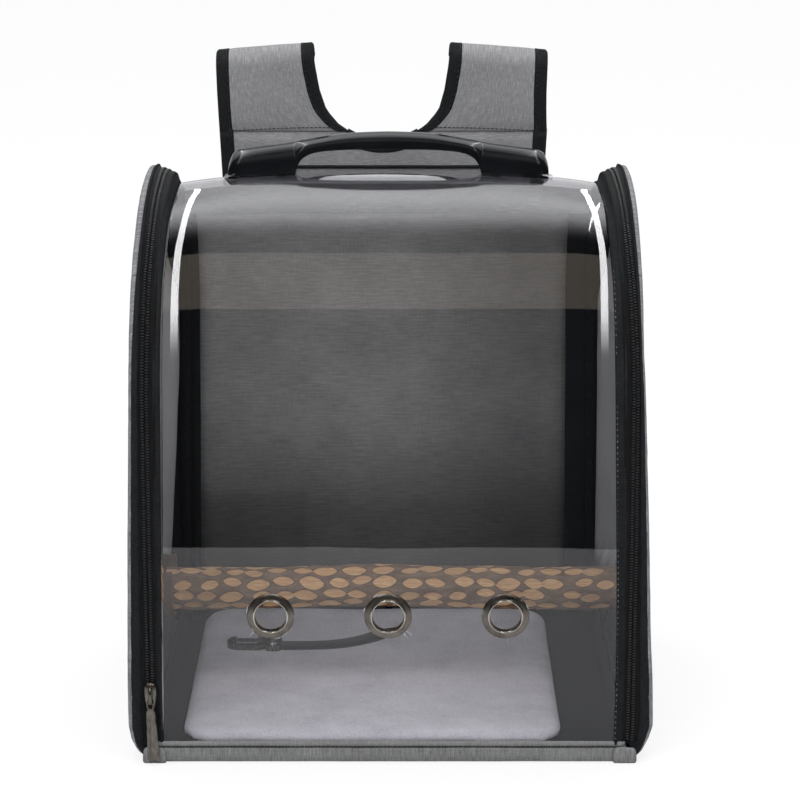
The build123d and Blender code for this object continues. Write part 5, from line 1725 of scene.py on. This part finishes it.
slider = {
    "front": 128.9,
    # height, half width and rise of the body, then its section
    "bodyRows": [(40.2, 2.2, 1.6), (41.0, 2.7, 2.4), (43.5, 3.2, 3.0), (47.0, 3.9, 3.4), (51.0, 4.2, 3.5),
                 (54.5, 4.2, 3.4), (57.0, 3.7, 3.0), (58.6, 2.8, 2.4), (59.0, 2.0, 1.4)],
    "body": [(-1, 0), (-1, 0.45), (-0.86, 0.8), (-0.5, 1.0), (-0.2, 0.86), (0.2, 0.86), (0.5, 1.0), (0.86, 0.8),
             (1, 0.45), (1, 0)],
    # the bridge: y, z, the way out and its width
    "bridge": [(131.4, 56.8, 0.3, 0.95, 2.9), (133.4, 56.2, 0.6, 0.8, 2.7), (134.9, 54.4, 0.85, 0.5, 2.5),
               (135.4, 51.8, 1, 0.1, 2.3), (135.4, 48.6, 1, -0.1, 2.3), (134.9, 46.0, 0.85, -0.5, 2.5),
               (133.4, 44.4, 0.6, -0.8, 2.7), (131.4, 43.8, 0.3, -0.95, 2.9)],
    "bridgeThick": 1.2,
    # the pull's tab: height, half width, how much of its sunk middle shows
    "tabRows": [(41.2, 1.5, 0), (40.4, 2.4, 0), (38.4, 2.9, 0.2), (36, 3.1, 1), (30, 3.3, 1), (20, 3.7, 1),
                (10, 4.1, 1), (5.6, 4.3, 0.2), (4.0, 4.2, 0), (3.1, 3.6, 0)],
}


def buildSlider(sideName, sx, sy):
    # sy -1 at the front; the body is a domed shield with a bridge over it
    x = sx * 160.05
    verts = [(x + a * half, sy * (slider["front"] + h * rise), z)
             for z, half, rise in slider["bodyRows"] for a, h in slider["body"]]
    faces = tubeFaces(len(slider["bodyRows"]), len(slider["body"])) + tubeFaces(len(slider["bridge"]), 10, len(verts))
    for y, z, outY, outZ, wide in slider["bridge"]:
        for i in range(10):
            a = 2 * pi * i / 10
            half = slider["bridgeThick"] / 2 * sin(a)
            verts.append((x + wide / 2 * cos(a), sy * (y + outY * half), z + outZ * half))
    body = tidy(makeObject("slider_body_" + sideName, verts, faces, gunmetal))
    finishPiece(body, "slider_" + sideName, "gunmetal", "zip_slider_" + sideName)
    # the pull: a ring through the bridge and a bevelled tab that widens to its foot
    verts = []
    for z, half, sunk in slider["tabRows"]:
        lean, sill = 1.3 * smoothStep(42, 3, z), 1.35 - 0.6 * sunk
        for a, h in ((-1, 0), (-1, 0.9), (-0.84, 1.35), (-0.62, 1.35), (-0.5, sill), (0.5, sill), (0.62, 1.35),
                     (0.84, 1.35), (1, 0.9), (1, 0)):
            verts.append((x + lean + a * half, sy * (132.2 + h), z))
    faces = tubeFaces(len(slider["tabRows"]), 10) + ringFaces(20, 8, len(verts))
    for a in (2 * pi * i / 20 for i in range(20)):
        for b in (2 * pi * j / 8 for j in range(8)):
            reach = 1 + 0.72 / 2.3 * cos(b)
            verts.append((x + 2.05 * reach * sin(a), sy * (133.2 + 0.7 * sin(b)), 43.6 + 2.9 * reach * cos(a)))
    pull = tidy(makeObject("pull_tab_" + sideName, verts, faces, gunmetal))
    finishPiece(pull, "pull_" + sideName, "gunmetal", "zip_pull_" + sideName)


buildSlider("left", -1, -1)
buildSlider("right", 1, 1)
print("sliders")

# finishes of the moulded and metal parts that keep their own shape
finishes = {
    "ladder_lock_left": matteAcetal, "ladder_lock_right": matteAcetal, "perch_cradle": brownAcetal,
    "cradle_rivets": zincSteel, "perch_insert": turnedBrass, "perch_screw": matteAcetal,
    "perch_washer_inner": zincSteel, "perch_washer_outer": zincSteel, "handle_plates": matteAcetal,
    "handle_screws": zincSteel, "tether_hook": gunmetal, "hook_gate": gunmetal, "gate_pin": zincSteel,
}
for name, material in finishes.items():
    nodes[name].data.materials.clear()
    nodes[name].data.materials.append(material)
    for face in nodes[name].data.polygons:
        face.material_index = 0
print("finishing")
